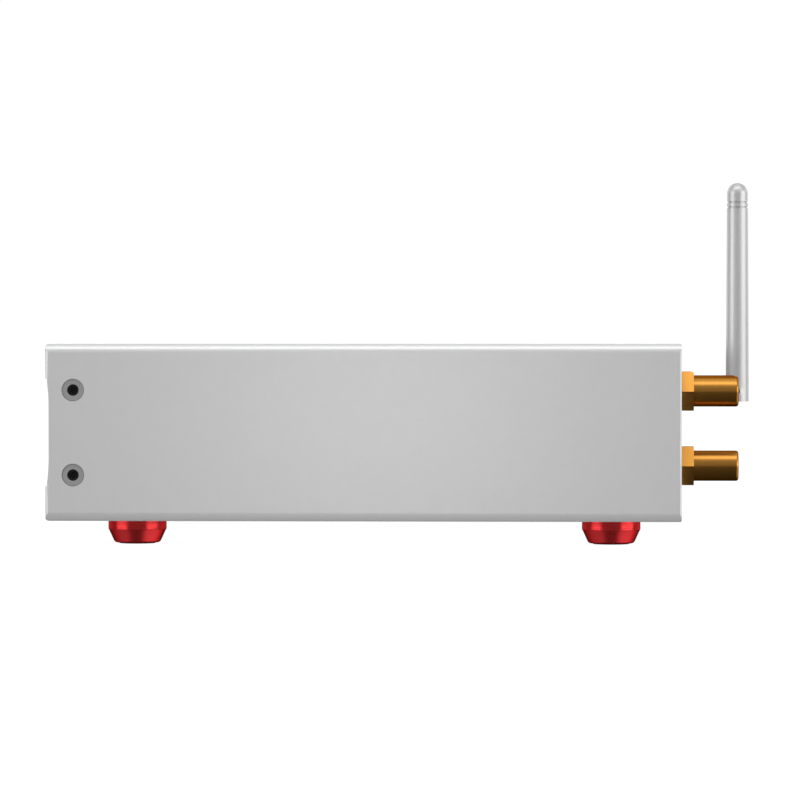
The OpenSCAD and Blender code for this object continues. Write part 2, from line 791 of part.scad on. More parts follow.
module foot(p) {
    color("firebrick") translate([p[0], p[1], 0]) difference() {
        rotate_extrude() foot_outline();
        translate([0, 0, pad_proud - cut]) cylinder(r = pad_r + pad_gap, h = cut + pad_seat);
        cylinder(r = foot_head_r + 0.2, h = pad_proud + pad_seat + foot_head_t);
        cylinder(r = foot_screw_r + hole_gap, h = foot_h + cut);
    }
}

module foot_front_left() {
    foot(foot_spots[0]);
}

module foot_front_right() {
    foot(foot_spots[1]);
}

module foot_rear_left() {
    foot(foot_spots[2]);
}

module foot_rear_right() {
    foot(foot_spots[3]);
}

module foot_pads() {
    color("black") for (p = foot_spots)
        translate([p[0], p[1], 0]) cylinder(r = pad_r, h = pad_proud + pad_seat);
}

module foot_screws() {
    seat = pad_proud + pad_seat + foot_head_t;
    color("dimgray") for (p = foot_spots)
        translate([p[0], p[1], seat]) rotate([180, 0, 0])
            pan_screw(foot_screw_r, in_zb + 0.5 - seat, foot_head_r, foot_head_t - 0.2);
}

// Front controls

module display_window() {
    color("black") slab_y(face_y, face_y + window_t) translate([0, zc]) rounded(window_w, window_h, 1.4);
}

module display_module() {
    back_y = web_in + 0.2;
    color("darkslategray") {
        slab_y(web_in - 1.6, back_y) translate([0, zc]) square([module_w, module_h], center = true);
        slab_y(back_y, dboard_y) translate([0, zc]) square([module_w + 2, module_h + 2], center = true);
    }
}

module display_board() {
    color("darkgreen") difference() {
        slab_y(dboard_y, dboard_back) translate([0, zc]) square([dboard_w, dboard_h], center = true);
        for (x = [-board_boss_x, board_boss_x], z = [-board_boss_z, board_boss_z])
            translate([x, 0, zc + z]) rod_y(board_screw_r + 0.15, dboard_y - cut, dboard_back + cut);
    }
}

module display_board_screws() {
    color("dimgray") for (x = [-board_boss_x, board_boss_x], z = [-board_boss_z, board_boss_z])
        translate([x, dboard_back, zc + z]) rotate([-90, 0, 0])
            pan_screw(board_screw_r, board_screw_len, board_head_r, board_head_t);
}

module push_switches() {
    color("dimgray") for (x = [power_x, source_x, filter_x, menu_x])
        translate([x, 0, zc]) difference() {
            block([-tact_s / 2, tact_s / 2], [dboard_y - tact_h, dboard_y], [-tact_s / 2, tact_s / 2]);
            rod_y(stem_r + 0.15, dboard_y - tact_h - cut, dboard_y - tact_floor);
        }
}

module status_light_pipe() {
    color("white") translate([light_x, 0, zc]) {
        rod_y(light_r, face_y, dboard_y);
        rod_y(light_r + 0.8, web_in + 0.1, web_in + 1);
    }
}

module infrared_receiver() {
    color("black") translate([receiver_x, 0, zc]) {
        block([-receiver_w / 2, receiver_w / 2], [web_in + 0.3, dboard_y],
            [-receiver_h / 2, receiver_h / 2]);
        translate([0, web_in + 0.3, 0]) sphere(r = receiver_lens_r);
    }
}

// Push button: a dished cap in the panel, a retaining flange behind the web and a stem on the switch.
module button(x, r) {
    dish_r = r * 5;
    dish_d = 0.25;
    color("silver") translate([x, 0, zc]) {
        difference() {
            rod_y(r, face_y, web_in + flange_gap + flange_t / 2);
            translate([0, face_y + dish_d - dish_r, 0]) sphere(r = dish_r, $fn = 128);
        }
        rod_y(r + flange_over, web_in + flange_gap, web_in + flange_gap + flange_t);
        rod_y(stem_r, web_in + flange_gap, dboard_y - tact_floor - button_travel - 0.1);
    }
}

module power_button() {
    button(power_x, power_r);
}

module source_button() {
    button(source_x, small_button_r);
}

module filter_button() {
    button(filter_x, small_button_r);
}

module menu_button() {
    button(menu_x, small_button_r);
}

// Phono sockets

module phono_shell(p) {
    color("goldenrod") translate([p[0], 0, p[1]]) difference() {
        union() {
            hex_y(rca_hex_af, rca_hex_y, rca_barrel_y);
            turn_y() translate([0, rca_barrel_y - 0.5]) {
                square([rca_r, rca_len + 0.5 - rca_lip_r]);
                square([rca_r - rca_lip_r, rca_len + 0.5]);
                translate([rca_r - rca_lip_r, rca_len + 0.5 - rca_lip_r]) circle(r = rca_lip_r);
            }
            rod_y(rca_thread_r, rca_tail_y, rca_hex_y + 0.5);
        }
        rod_y(rca_core_r + hole_gap, rca_tail_y - cut, rca_tip_y + cut);
    }
}

module output_left_socket() {
    phono_shell(phono_spots[0]);
}

module output_right_socket() {
    phono_shell(phono_spots[1]);
}

module coaxial_socket() {
    phono_shell(phono_spots[2]);
}

module phono_insulators() {
    core_face = rca_tip_y - rca_core_sink;
    color("white") for (p = phono_spots) translate([p[0], 0, p[1]]) {
        difference() {
            rod_y(rca_core_r, rca_tail_y, core_face);
            rod_y(rca_contact_r + hole_gap, rca_tail_y - cut, core_face - rca_face_t);
            rod_y(rca_bore_r + 0.1, rca_tail_y - cut, core_face + cut);
        }
        difference() {
            rod_y(rca_washer_r, yp_in - rca_inner_washer_t, yp_in);
            rod_y(rca_thread_r + hole_gap, yp_in - rca_inner_washer_t - cut, yp_in + cut);
        }
    }
}

module phono_contacts() {
    contact_y = rca_tip_y - rca_core_sink - rca_face_t;
    color("goldenrod") for (p = phono_spots) translate([p[0], 0, p[1]]) difference() {
        union() {
            rod_y(rca_contact_r, rca_tail_y, contact_y - 0.05);
            rod_y(rca_pin_r, rca_tail_y - rca_pin_len, rca_tail_y + 1);
        }
        rod_y(rca_bore_r, contact_y - rca_bore_len, contact_y + cut);
    }
}

// Coloured insulating washer, with a shoulder that centres the thread in the panel's hole.
module phono_washer(p) {
    translate([p[0], 0, p[1]]) difference() {
        union() {
            rod_y(rca_washer_r, yp_out, rca_hex_y);
            rod_y(rca_hole_r - hole_gap, yp_in + 0.2, yp_out + 0.5);
        }
        rod_y(rca_thread_r + hole_gap, yp_in - cut, rca_hex_y + cut);
    }
}

module washer_white() {
    color("white") phono_washer(phono_spots[0]);
}

module washer_red() {
    color("red") phono_washer(phono_spots[1]);
}

module washer_black() {
    color("black") phono_washer(phono_spots[2]);
}

module phono_lock_nuts() {
    nut_y = yp_in - rca_inner_washer_t;
    color("goldenrod") for (p = phono_spots) translate([p[0], 0, p[1]]) difference() {
        hex_y(rca_hex_af + 0.4, nut_y - rca_nut_t, nut_y);
        rod_y(rca_thread_r + hole_gap, nut_y - rca_nut_t - cut, nut_y + cut);
    }
}

// Antenna

module antenna_socket() {
    color("goldenrod") translate([antenna_x, 0, antenna_z]) {
        difference() {
            union() {
                rod_y(socket_thread_r, yp_in - 0.5, socket_tip);
                hex_y(socket_nut_af, yp_in - 2, yp_in);
                rod_y(1.9, yp_in - antenna_tail, yp_in - 1);
            }
            rod_y(2.1, socket_tip - 5, socket_tip + cut);
        }
        difference() {
            hex_y(socket_nut_af, yp_out, yp_out + socket_nut_t);
            rod_y(socket_thread_r + hole_gap, yp_out - cut, yp_out + socket_nut_t + cut);
        }
    }
}

module antenna_coupling_nut() {
    color("goldenrod") translate([antenna_x, 0, antenna_z]) difference() {
        union() {
            rod_y(coupling_r, coupling_y, coupling_end - 0.8);
            rod_y(coupling_r - 0.5, coupling_y, coupling_end);
        }
        rod_y(socket_thread_r + hole_gap, coupling_y - cut, coupling_end - coupling_lip);
        rod_y(spigot_r + hole_gap, coupling_y, coupling_end + cut);
        for (y = [coupling_y + 2, coupling_end - 2.6])
            turn_y() translate([coupling_r - 0.25, y]) square([1, 0.4]);
    }
}

module antenna_elbow() {
    flange_end = coupling_end - coupling_lip - 0.1;
    tongue_z = tongue_r - 0.3;
    color("goldenrod") translate([antenna_x, 0, antenna_z]) difference() {
        union() {
            rod_y(spigot_flange_r, flange_end - spigot_flange_t, flange_end);
            rod_y(spigot_r, flange_end - 0.4, collar_y + 0.5);
            rod_y(collar_r, collar_y, collar_end);
            block([-tongue_w / 2, tongue_w / 2], [collar_end - 0.5, hinge_y], [-tongue_z, tongue_z]);
            translate([0, hinge_y, 0]) rod_x(tongue_r, -tongue_w / 2, tongue_w / 2);
        }
        translate([0, hinge_y, 0]) rod_x(hinge_pin_r + hole_gap, -tongue_w, tongue_w);
    }
}

module antenna_hinge_pin() {
    reach = antenna_r - 0.25;
    color("gray") translate([antenna_x, hinge_y, antenna_z]) rod_x(hinge_pin_r, -reach, reach);
}

module antenna_sheath() {
    slot = tongue_w / 2 + tongue_gap;
    color("lightgray") translate([antenna_x, hinge_y, 0]) difference() {
        translate([0, 0, antenna_bottom_z])
            cylinder(r1 = antenna_r, r2 = antenna_top_r, h = cap_z - antenna_bottom_z);
        block([-slot, slot], [-antenna_r - cut, tongue_r + tongue_end_gap],
            [antenna_bottom_z - cut, fork_top]);
        translate([0, 0, antenna_z]) rod_x(hinge_pin_r + hole_gap, -antenna_r - cut, antenna_r + cut);
        translate([0, 0, fork_top + 2]) cylinder(r = antenna_bore_r, h = cap_z);
        rotate_extrude() translate([antenna_top_r - groove_d, cap_z - groove_pitch]) square([1, groove_w]);
    }
}

module antenna_cap() {
    body_z = cap_z + groove_w;
    dome_z = antenna_tip_z - dome_r;
    color("lightgray") translate([antenna_x, hinge_y, 0]) {
        translate([0, 0, cap_z]) cylinder(r = dome_r - groove_d, h = groove_w + 0.1);
        translate([0, 0, body_z]) cylinder(r = dome_r, h = dome_z - body_z);
        translate([0, 0, dome_z]) rotate_extrude() intersection() {
            circle(r = dome_r);
            square(dome_r);
        }
        translate([0, 0, cap_z - 3]) cylinder(r = antenna_bore_r - hole_gap, h = 3.2);
    }
}

module antenna_radiator() {
    color("darkgoldenrod") translate([antenna_x, hinge_y, fork_top + 2])
        cylinder(r = antenna_bore_r - hole_gap, h = cap_z - fork_top - 8);
}

// Digital sockets

module usb_mouth() {
    polygon([[-4.25, -3.9], [4.25, -3.9], [4.25, 2.3], [2.65, 3.9], [-2.65, 3.9], [-4.25, 2.3]]);
}

module usb_shell() {
    color("gainsboro") difference() {
        slab_y(yp_out - usb_depth, yp_out) translate([usb_x, board_top + usb_h / 2])
            square([usb_w, usb_h], center = true);
        slab_y(yp_out - usb_depth + 3, yp_out + cut) translate([usb_x, board_top + usb_h / 2]) usb_mouth();
    }
}

module usb_tongue() {
    color("white") translate([usb_x, 0, board_top + usb_h / 2])
        block([-2.8, 2.8], [yp_out - usb_depth + 3, yp_out - 2.5], [-1.6, 1.6]);
}

optical_z = board_z + board_t + optical_h / 2;
flap_y = yp_out - 0.9;
flap_z = optical_z + optical_mouth_h / 2 - 0.65;

module optical_housing() {
    mouth = [optical_mouth_w, optical_mouth_h];
    color("black") difference() {
        block([coax_x - optical_w / 2, coax_x + optical_w / 2], [yp_out - optical_depth, yp_out],
            [board_top, board_top + optical_h]);
        slab_y(yp_out - 10, yp_out + cut) translate([coax_x, optical_z]) square(mouth, center = true);
        translate([0, flap_y, flap_z])
            rod_x(0.45 + hole_gap, coax_x - optical_mouth_w / 2 - 1, coax_x + optical_mouth_w / 2 + 1);
    }
    color("black") translate([coax_x, 0, optical_z]) rod_y(1.2, yp_out - 10.2, yp_out - 8.6);
}

module optical_flap() {
    half = optical_mouth_w / 2 - 0.15;
    color("dimgray") translate([coax_x, 0, 0]) {
        translate([0, flap_y, flap_z]) {
            rod_x(0.55, -half, half);
            rod_x(0.45, -half - 0.9, half + 0.9);
        }
        block([-half, half], [flap_y - 0.4, flap_y + 0.4], [optical_z - optical_mouth_h / 2 + 0.15, flap_z]);
    }
}

// Mains inlet and switch

module inlet_recess() {
    w = socket_w / 2;
    h = socket_h / 2;
    c = socket_chamfer;
    polygon([[-w, -h], [w, -h], [w, h - c], [w - c, h], [c - w, h], [-w, h - c]]);
}

module mains_inlet() {
    slot_w = blade_t + 0.1;
    slot_h = blade_h + 0.1;
    color("black") difference() {
        union() {
            slab_y(inlet_back, inlet_face - 0.5) translate([inlet_x, zc])
                square([inlet_w, inlet_h], center = true);
            slab_y(yp_out, inlet_face) translate([inlet_x, zc])
                rounded(inlet_w + 2 * inlet_flange_w, inlet_h + 2 * inlet_flange_w, 2);
        }
        slab_y(inlet_face - socket_depth, inlet_face + cut)
            translate([inlet_x, socket_z]) inlet_recess();
        slab_y(inlet_face - drawer_depth - 0.5, inlet_face + cut) translate([inlet_x, drawer_z])
            square([drawer_w + 2 * drawer_gap, drawer_h + 2 * drawer_gap], center = true);
        slab_y(inlet_back - cut, inlet_face) for (p = blade_spots)
            translate([inlet_x + p[0], socket_z + p[1]]) square([slot_w, slot_h], center = true);
    }
}

module mains_pins() {
    color("silver") for (p = blade_spots)
        translate([inlet_x + p[0], 0, socket_z + p[1]]) {
            slab_y(inlet_back, inlet_face - blade_tip_in) square([blade_t, blade_h], center = true);
            slab_y(tab_y, inlet_back + 1) square([tab_t, blade_h], center = true);
        }
}

// Drawer in the inlet with a trough for the fuse and a finger groove along its face.
module fuse_drawer() {
    back_y = inlet_face - drawer_depth;
    trough = [back_y + 1, back_y + 1.4 + fuse_len];
    trough_r = fuse_r + 0.1;
    color("black") translate([inlet_x, 0, drawer_z]) difference() {
        slab_y(back_y, inlet_face - 0.1) square([drawer_w, drawer_h], center = true);
        rod_y(trough_r, trough[0], trough[1]);
        block([-trough_r, trough_r], trough, [0, drawer_h]);
        block([-6, 6], [inlet_face - 1, inlet_face], [drawer_h / 2 - 1.6, drawer_h / 2 - 0.6]);
    }
}

module fuse() {
    y0 = inlet_face - drawer_depth + 1.2;
    color("whitesmoke") translate([inlet_x, 0, drawer_z]) {
        rod_y(fuse_r, y0, y0 + 5);
        rod_y(fuse_r - 0.2, y0 + 4.5, y0 + fuse_len - 4.5);
        rod_y(fuse_r, y0 + fuse_len - 5, y0 + fuse_len);
    }
}

module switch_housing() {
    color("black") difference() {
        union() {
            slab_y(switch_back, switch_face - 0.5) translate([switch_x, zc])
                square([switch_w, switch_h], center = true);
            slab_y(yp_out, switch_face) translate([switch_x, zc])
                rounded(switch_w + 2 * switch_bezel, switch_h + 2 * switch_bezel, 1);
        }
        slab_y(rocker_y - 5, switch_face + cut) translate([switch_x, zc])
            square([rocker_w + 0.4, 2 * (rocker_half + rocker_gap)], center = true);
        translate([0, rocker_y, zc])
            rod_x(rocker_pin_r + hole_gap, switch_x - rocker_w / 2 - 1.2, switch_x + rocker_w / 2 + 1.2);
    }
    color("gray") for (x = [-switch_tab_x, switch_tab_x], z = [-switch_tab_z, switch_tab_z])
        translate([switch_x + x, 0, zc + z]) block([-0.4, 0.4], [switch_tab_y, switch_back], [-1.6, 1.6]);
}

// Rocker outline about its pivot: two wings that rise to the ends and a keel below.
module rocker_outline() {
    h = switch_face - rocker_y - rocker_sink;
    rise = rocker_half * tan(rocker_tilt);
    polygon([[h, 0], [h + rise, rocker_half], [h - 3.4, rocker_half], [-3.4, 2.2], [-3.4, -2.2],
        [h - 3.4, -rocker_half], [h + rise, -rocker_half]]);
}

module switch_rocker() {
    color("black") translate([0, rocker_y, zc]) rotate([rocker_tilt, 0, 0]) {
        beam_x(switch_x - rocker_w / 2, switch_x + rocker_w / 2) rocker_outline();
        rod_x(rocker_pin_r, switch_x - rocker_w / 2 - 1, switch_x + rocker_w / 2 + 1);
    }
}

// Main board

module main_board() {
    color("darkgreen") difference() {
        union() {
            block([board_x0, board_x1], [board_y0, board_y1], [board_z, board_top]);
            block([tongue_x0, tongue_x1], [board_y1 - 1, yp_in - 0.3], [board_z, board_top]);
        }
        for (x = pillar_xs, y = pillar_ys)
            translate([x, y, board_z - cut]) cylinder(r = m3_r + 0.15, h = board_t + 2 * cut);
    }
}

module board_pillars() {
    color("goldenrod") for (x = pillar_xs, y = pillar_ys)
        translate([x, y, in_zb]) difference() {
            cylinder(r = pillar_r / cos(30), h = standoff_h, $fn = 6);
            translate([0, 0, -cut]) cylinder(r = m3_r + hole_gap, h = standoff_h + 2 * cut);
        }
}

// Countersunk screw from below, its head flush with the case's underside.
module sunk_screw(len) {
    cylinder(r1 = m3_head_r, r2 = m3_r, h = m3_head_r - m3_r);
    cylinder(r = m3_r, h = len);
}

module board_screws() {
    color("dimgray") for (x = pillar_xs, y = pillar_ys) {
        translate([x, y, board_top]) pan_screw(m3_r, board_t + standoff_h / 2 - 0.6, m3_head_r, m3_head_t);
        translate([x, y, zb]) sunk_screw(wall + standoff_h / 2 - 0.6);
    }
}

// Transformer

toroid_z = in_zb + toroid_pad_t;
clamp_z = toroid_z + toroid_h + toroid_pad_t;

module transformer() {
    color("khaki") translate([toroid_x, toroid_y, toroid_z + toroid_h / 2]) rotate_extrude()
        translate([(toroid_r + toroid_hole_r) / 2, 0]) rounded(toroid_r - toroid_hole_r, toroid_h, 6);
}

module transformer_pads() {
    color("black") for (z = [in_zb, toroid_z + toroid_h])
        translate([toroid_x, toroid_y, z]) difference() {
            cylinder(r = toroid_r - 7, h = toroid_pad_t);
            translate([0, 0, -cut]) cylinder(r = toroid_hole_r, h = toroid_pad_t + 2 * cut);
        }
}

module transformer_clamp() {
    color("silver") translate([toroid_x, toroid_y, 0]) {
        difference() {
            translate([0, 0, clamp_z]) cylinder(r = toroid_r - 8, h = 1.2);
            translate([0, 0, clamp_z - cut]) cylinder(r = m3_r + hole_gap, h = 1.2 + 2 * cut);
        }
        translate([0, 0, zb]) sunk_screw(clamp_z + 4.4 - zb);
        difference() {
            translate([0, 0, clamp_z + 1.2]) cylinder(r = 3.2, h = 2.4, $fn = 6);
            translate([0, 0, clamp_z]) cylinder(r = m3_r + hole_gap, h = 6);
        }
    }
}

// Components on the main board

module reservoir_capacitors() {
    color("midnightblue") for (i = [0:cap_count - 1])
        translate([cap_x, cap_y0 + i * cap_pitch, board_top]) difference() {
            cylinder(r = cap_r, h = cap_h);
            rotate_extrude() translate([cap_r - cap_bead_d, cap_bead_z])
                square([cap_bead_d + cut, cap_bead_w]);
        }
}

module heat_sink() {
    color("dimgray") translate([sink_x, sink_y, board_top]) {
        cube([sink_web, sink_fins * sink_pitch, sink_h]);
        for (i = [0:sink_fins - 1])
            translate([sink_web / 2, i * sink_pitch + 1, 0]) cube([sink_web / 2 + fin_len, fin_t, sink_h]);
    }
}

// A component whose lowest corner is at x and y on the board.
module on_board(x, y, size, lift = 0) {
    translate([x, y, board_top + lift]) cube(size);
}

// Regulators, relays, converter circuits, radio module and plug headers.
module board_components() {
    color("dimgray") {
        for (y = regulator_ys) {
            on_board(sink_x - regulator[0] - regulator_gap, y, regulator, regulator_lift);
            for (k = [0:2])
                on_board(sink_x - 2 * leg_in, y + leg_side + k * leg_pitch, regulator_leg);
        }
        for (k = [0, 1]) on_board(board_x1 - relay_in, board_y1 - relay_back + relay_pitch * k, relay);
        for (k = [0:3])
            on_board(board_x1 - amplifier_in, board_y1 - amplifier_back + amplifier_pitch * k, amplifier);
        on_board(board_x1 - converter_in, board_y1 - converter_back, converter);
        on_board(usb_x - usb_chip_in, board_y1 - usb_chip_back, usb_chip);
        on_board(usb_x + crystal_beside, board_y1 - crystal_back, crystal);
        for (k = [0:4])
            on_board(board_x1 - film_cap_in + film_cap_pitch * k, board_y0 + film_cap_front, film_cap);
        on_board(radio_x, radio_y, radio);
        on_board(secondary_plug[0] - secondary_header[0] / 2, secondary_plug[1] - secondary_header[1] / 2,
            secondary_header);
        on_board(output_plug[0] - output_header[0] / 2, output_plug[1], output_header);
    }
    header_xs = [ribbon_x - header_w / 2, ribbon_x + header_w / 2];
    color("ivory") {
        block(header_xs, [dboard_back, dboard_back + header_t], [zc - header_h / 2, zc + header_h / 2]);
        block(header_xs, [ribbon_end, ribbon_end + ribbon_socket_l],
            [board_top, board_top + ribbon_socket_h]);
    }
}

// Leads

module mains_leads() {
    live = blade_tab(0);
    neutral = blade_tab(1);
    earth = blade_tab(2);
    live_tab = [switch_x - switch_tab_x, switch_tab_y, zc + switch_tab_z];
    neutral_tab = [switch_x - switch_tab_x, switch_tab_y, zc - switch_tab_z];
    bus = [switch_x - 8, switch_tab_y - 16];
    color("saddlebrown") {
        lead([live - touch, live - [0, 5, 0], live + [4, -15, 7], [bus[0], bus[1], live[2] + 7],
            live_tab - [0, 6, 0], live_tab - touch], mains_lead_r, [0, 0, 1]);
        lead([neutral - touch, neutral - [0, 5, 0], neutral + [5, -9, -7],
            [bus[0], bus[1] + 7, neutral_tab[2] + 1], neutral_tab - [0, 5, 0], neutral_tab - touch],
            mains_lead_r, [0, 0, 1]);
        lead([earth - touch, earth - [0, 5, 0], earth + [0, -12, -6], earth_spot + [-8, 4, 16],
            earth_spot + [0, 0, 8], earth_spot + [0, 0, earth_h + 0.05]], mains_lead_r, [0, 0.6, -0.2]);
    }
    color("gray") translate(earth_spot) cylinder(r = 3, h = earth_h);
    color("saddlebrown") for (k = [-1, 1]) {
        tab = [switch_x + switch_tab_x, switch_tab_y, zc + switch_tab_z * k];
        side = toroid_side(62 - 8 * k, 0.05, zc - 3);
        lead([tab - touch, tab - [0, 6, 0], [switch_x + 4 + 2 * k, switch_tab_y - 15, zc + 4 * k],
            toroid_side(62 - 8 * k, 12, zc - 2), toroid_side(62 - 8 * k, 4, zc - 3), side],
            mains_lead_r, [1, 0, 0.4]);
    }
}

module signal_leads() {
    color("whitesmoke") for (i = [0, 1]) {
        tail = phono_tail(i);
        plug = output_plug + [-4 + 8 * i, 0, plug_h / 2];
        lead([tail - touch, tail - [0, 3, 0], tail + [-3 - 2 * i, -8, -2 - i], plug + [4, -8, 8 - 3 * i],
            plug - [0, 4, 0], plug - touch], signal_lead_r, [0, 0.2, 1]);
    }
    coax_tail = phono_tail(2);
    coax_pad = [coax_x - 5, board_y1 - 6, board_top + 0.05];
    color("whitesmoke") lead([coax_tail - touch, coax_tail - [0, 4, 0], coax_tail + [-2, -9, -5],
        coax_pad + [0, 0, 7], coax_pad], signal_lead_r, [1, 0.3, 0]);
    radio_tail = [antenna_x, yp_in - antenna_tail, antenna_z];
    radio_pad = [radio_x + radio[0] / 2, radio_y + radio[1] / 2, board_top + radio[2] + 0.05];
    color("black") lead([radio_tail - touch, radio_tail - [0, 4, 0], radio_tail + [1, -10, -7],
        radio_pad + [0, 0, 7], radio_pad], 0.6, [1, 0.4, 0]);
    color("red") for (k = [0, 1])
        lead([toroid_side(28 - 9 * k, 0.05, zc), toroid_side(28 - 9 * k, 5, zc),
            [cap_x - cap_r - lead_clear + 4 * k, cap_y1 + cap_r + lead_clear, board_top + 15],
            secondary_plug + [0, 2 - 5 * k, plug_h + 6], secondary_plug + [0, 2 - 5 * k, plug_h + 0.05]],
            signal_lead_r, [0.2, 1, 0]);
}

// Flat cable from the display board down to the main board.
module display_ribbon() {
    y0 = dboard_back + header_t + 0.05;
    y1 = ribbon_end - 0.05;
    z1 = board_top + ribbon_socket_h / 2;
    steps = 16;
    line = [for (i = [0:steps])
        [y0 + (y1 - y0) * i / steps, zc + (z1 - zc) * (1 - cos(180 * i / steps)) / 2]];
    color("whitesmoke") beam_x(ribbon_x - ribbon_w / 2, ribbon_x + ribbon_w / 2)
        polygon(concat(line, [for (i = [steps:-1:0]) line[i] - [0, ribbon_t]]));
}

sleeve();
front_panel();
rear_panel();
front_panel_screws();
rear_panel_screws();
foot_front_left();
foot_front_right();
foot_rear_left();
foot_rear_right();
foot_pads();
foot_screws();
display_window();
display_module();
display_board();
display_board_screws();
push_switches();
status_light_pipe();
infrared_receiver();
power_button();
source_button();
filter_button();
menu_button();
output_left_socket();
output_right_socket();
coaxial_socket();
phono_insulators();
phono_contacts();
washer_white();
washer_red();
washer_black();
phono_lock_nuts();
antenna_socket();
antenna_coupling_nut();
antenna_elbow();
antenna_hinge_pin();
antenna_sheath();
antenna_cap();
antenna_radiator();
usb_shell();
usb_tongue();
optical_housing();
optical_flap();
mains_inlet();
mains_pins();
fuse_drawer();
fuse();
switch_housing();
switch_rocker();
main_board();
board_pillars();
board_screws();
transformer();
transformer_clamp();
transformer_pads();
reservoir_capacitors();
heat_sink();
board_components();
mains_leads();
signal_leads();
display_ribbon();
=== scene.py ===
"""Finishes, light and view for a desktop digital-to-analog converter.

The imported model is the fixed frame. Each class below stands for one sub-assembly of the converter: it dresses
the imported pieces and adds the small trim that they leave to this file. Its sizes are in millimetres. The studio's
places and sizes are in metres.
"""

import logging
import math
from dataclasses import dataclass, field, replace
from enum import Enum
from typing import Sequence

import bmesh
import bpy
from mathutils import Matrix, Vector


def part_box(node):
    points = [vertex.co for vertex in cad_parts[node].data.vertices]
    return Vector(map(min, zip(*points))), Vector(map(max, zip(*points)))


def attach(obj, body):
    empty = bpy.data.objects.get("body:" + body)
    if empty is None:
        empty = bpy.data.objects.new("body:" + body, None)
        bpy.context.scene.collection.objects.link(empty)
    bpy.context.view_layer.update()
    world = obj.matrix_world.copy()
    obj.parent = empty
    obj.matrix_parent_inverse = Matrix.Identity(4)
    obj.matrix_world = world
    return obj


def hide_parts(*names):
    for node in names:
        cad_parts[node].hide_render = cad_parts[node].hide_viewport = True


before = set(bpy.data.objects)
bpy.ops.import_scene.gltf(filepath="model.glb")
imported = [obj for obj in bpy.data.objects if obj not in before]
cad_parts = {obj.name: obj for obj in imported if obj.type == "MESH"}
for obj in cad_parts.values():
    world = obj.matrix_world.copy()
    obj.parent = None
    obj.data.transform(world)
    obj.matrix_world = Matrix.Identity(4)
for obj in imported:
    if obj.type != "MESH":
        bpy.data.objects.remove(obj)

MM = 0.001
Colour = tuple[float, float, float]
Point = tuple[float, float, float]
Socket = bpy.types.NodeSocket

BROAD_TONE = 0.06           # scale of a grain's broad tone, beside its fine one
FINE_SHARE = 0.35           # share of the fine grain in the tone
BRUSH_STRETCH = 30.0        # how much longer a brushed grain is along its axis
RING_TONE = 0.17            # scale of the tone of a turned surface's rings
FACE_TONE = 0.2             # scale of the tone of a spun face's rings
EDGE_GAIN = 4.0             # how fast the wear grows with an edge's turn
SPOT_SCALE = 0.9            # scale of the spots that break the wear up
SPOT_LEVEL = (2.4, -0.6)    # gain and offset of those spots
EDGE_RADIUS = 0.22          # how far from an edge the wear reaches
PATCH_SIZE = 9.0            # size of the patches that handling leaves
RIM_LEVEL = (2.0, -0.7)     # gain and offset of the painted shade on a metal's grazing rim
RIM_SHADE = 0.5             # how dark that painted rim shade is
COAT_ROUGHNESS = 0.12

logging.basicConfig(level=logging.INFO, format="%(message)s")
log = logging.getLogger("converter")


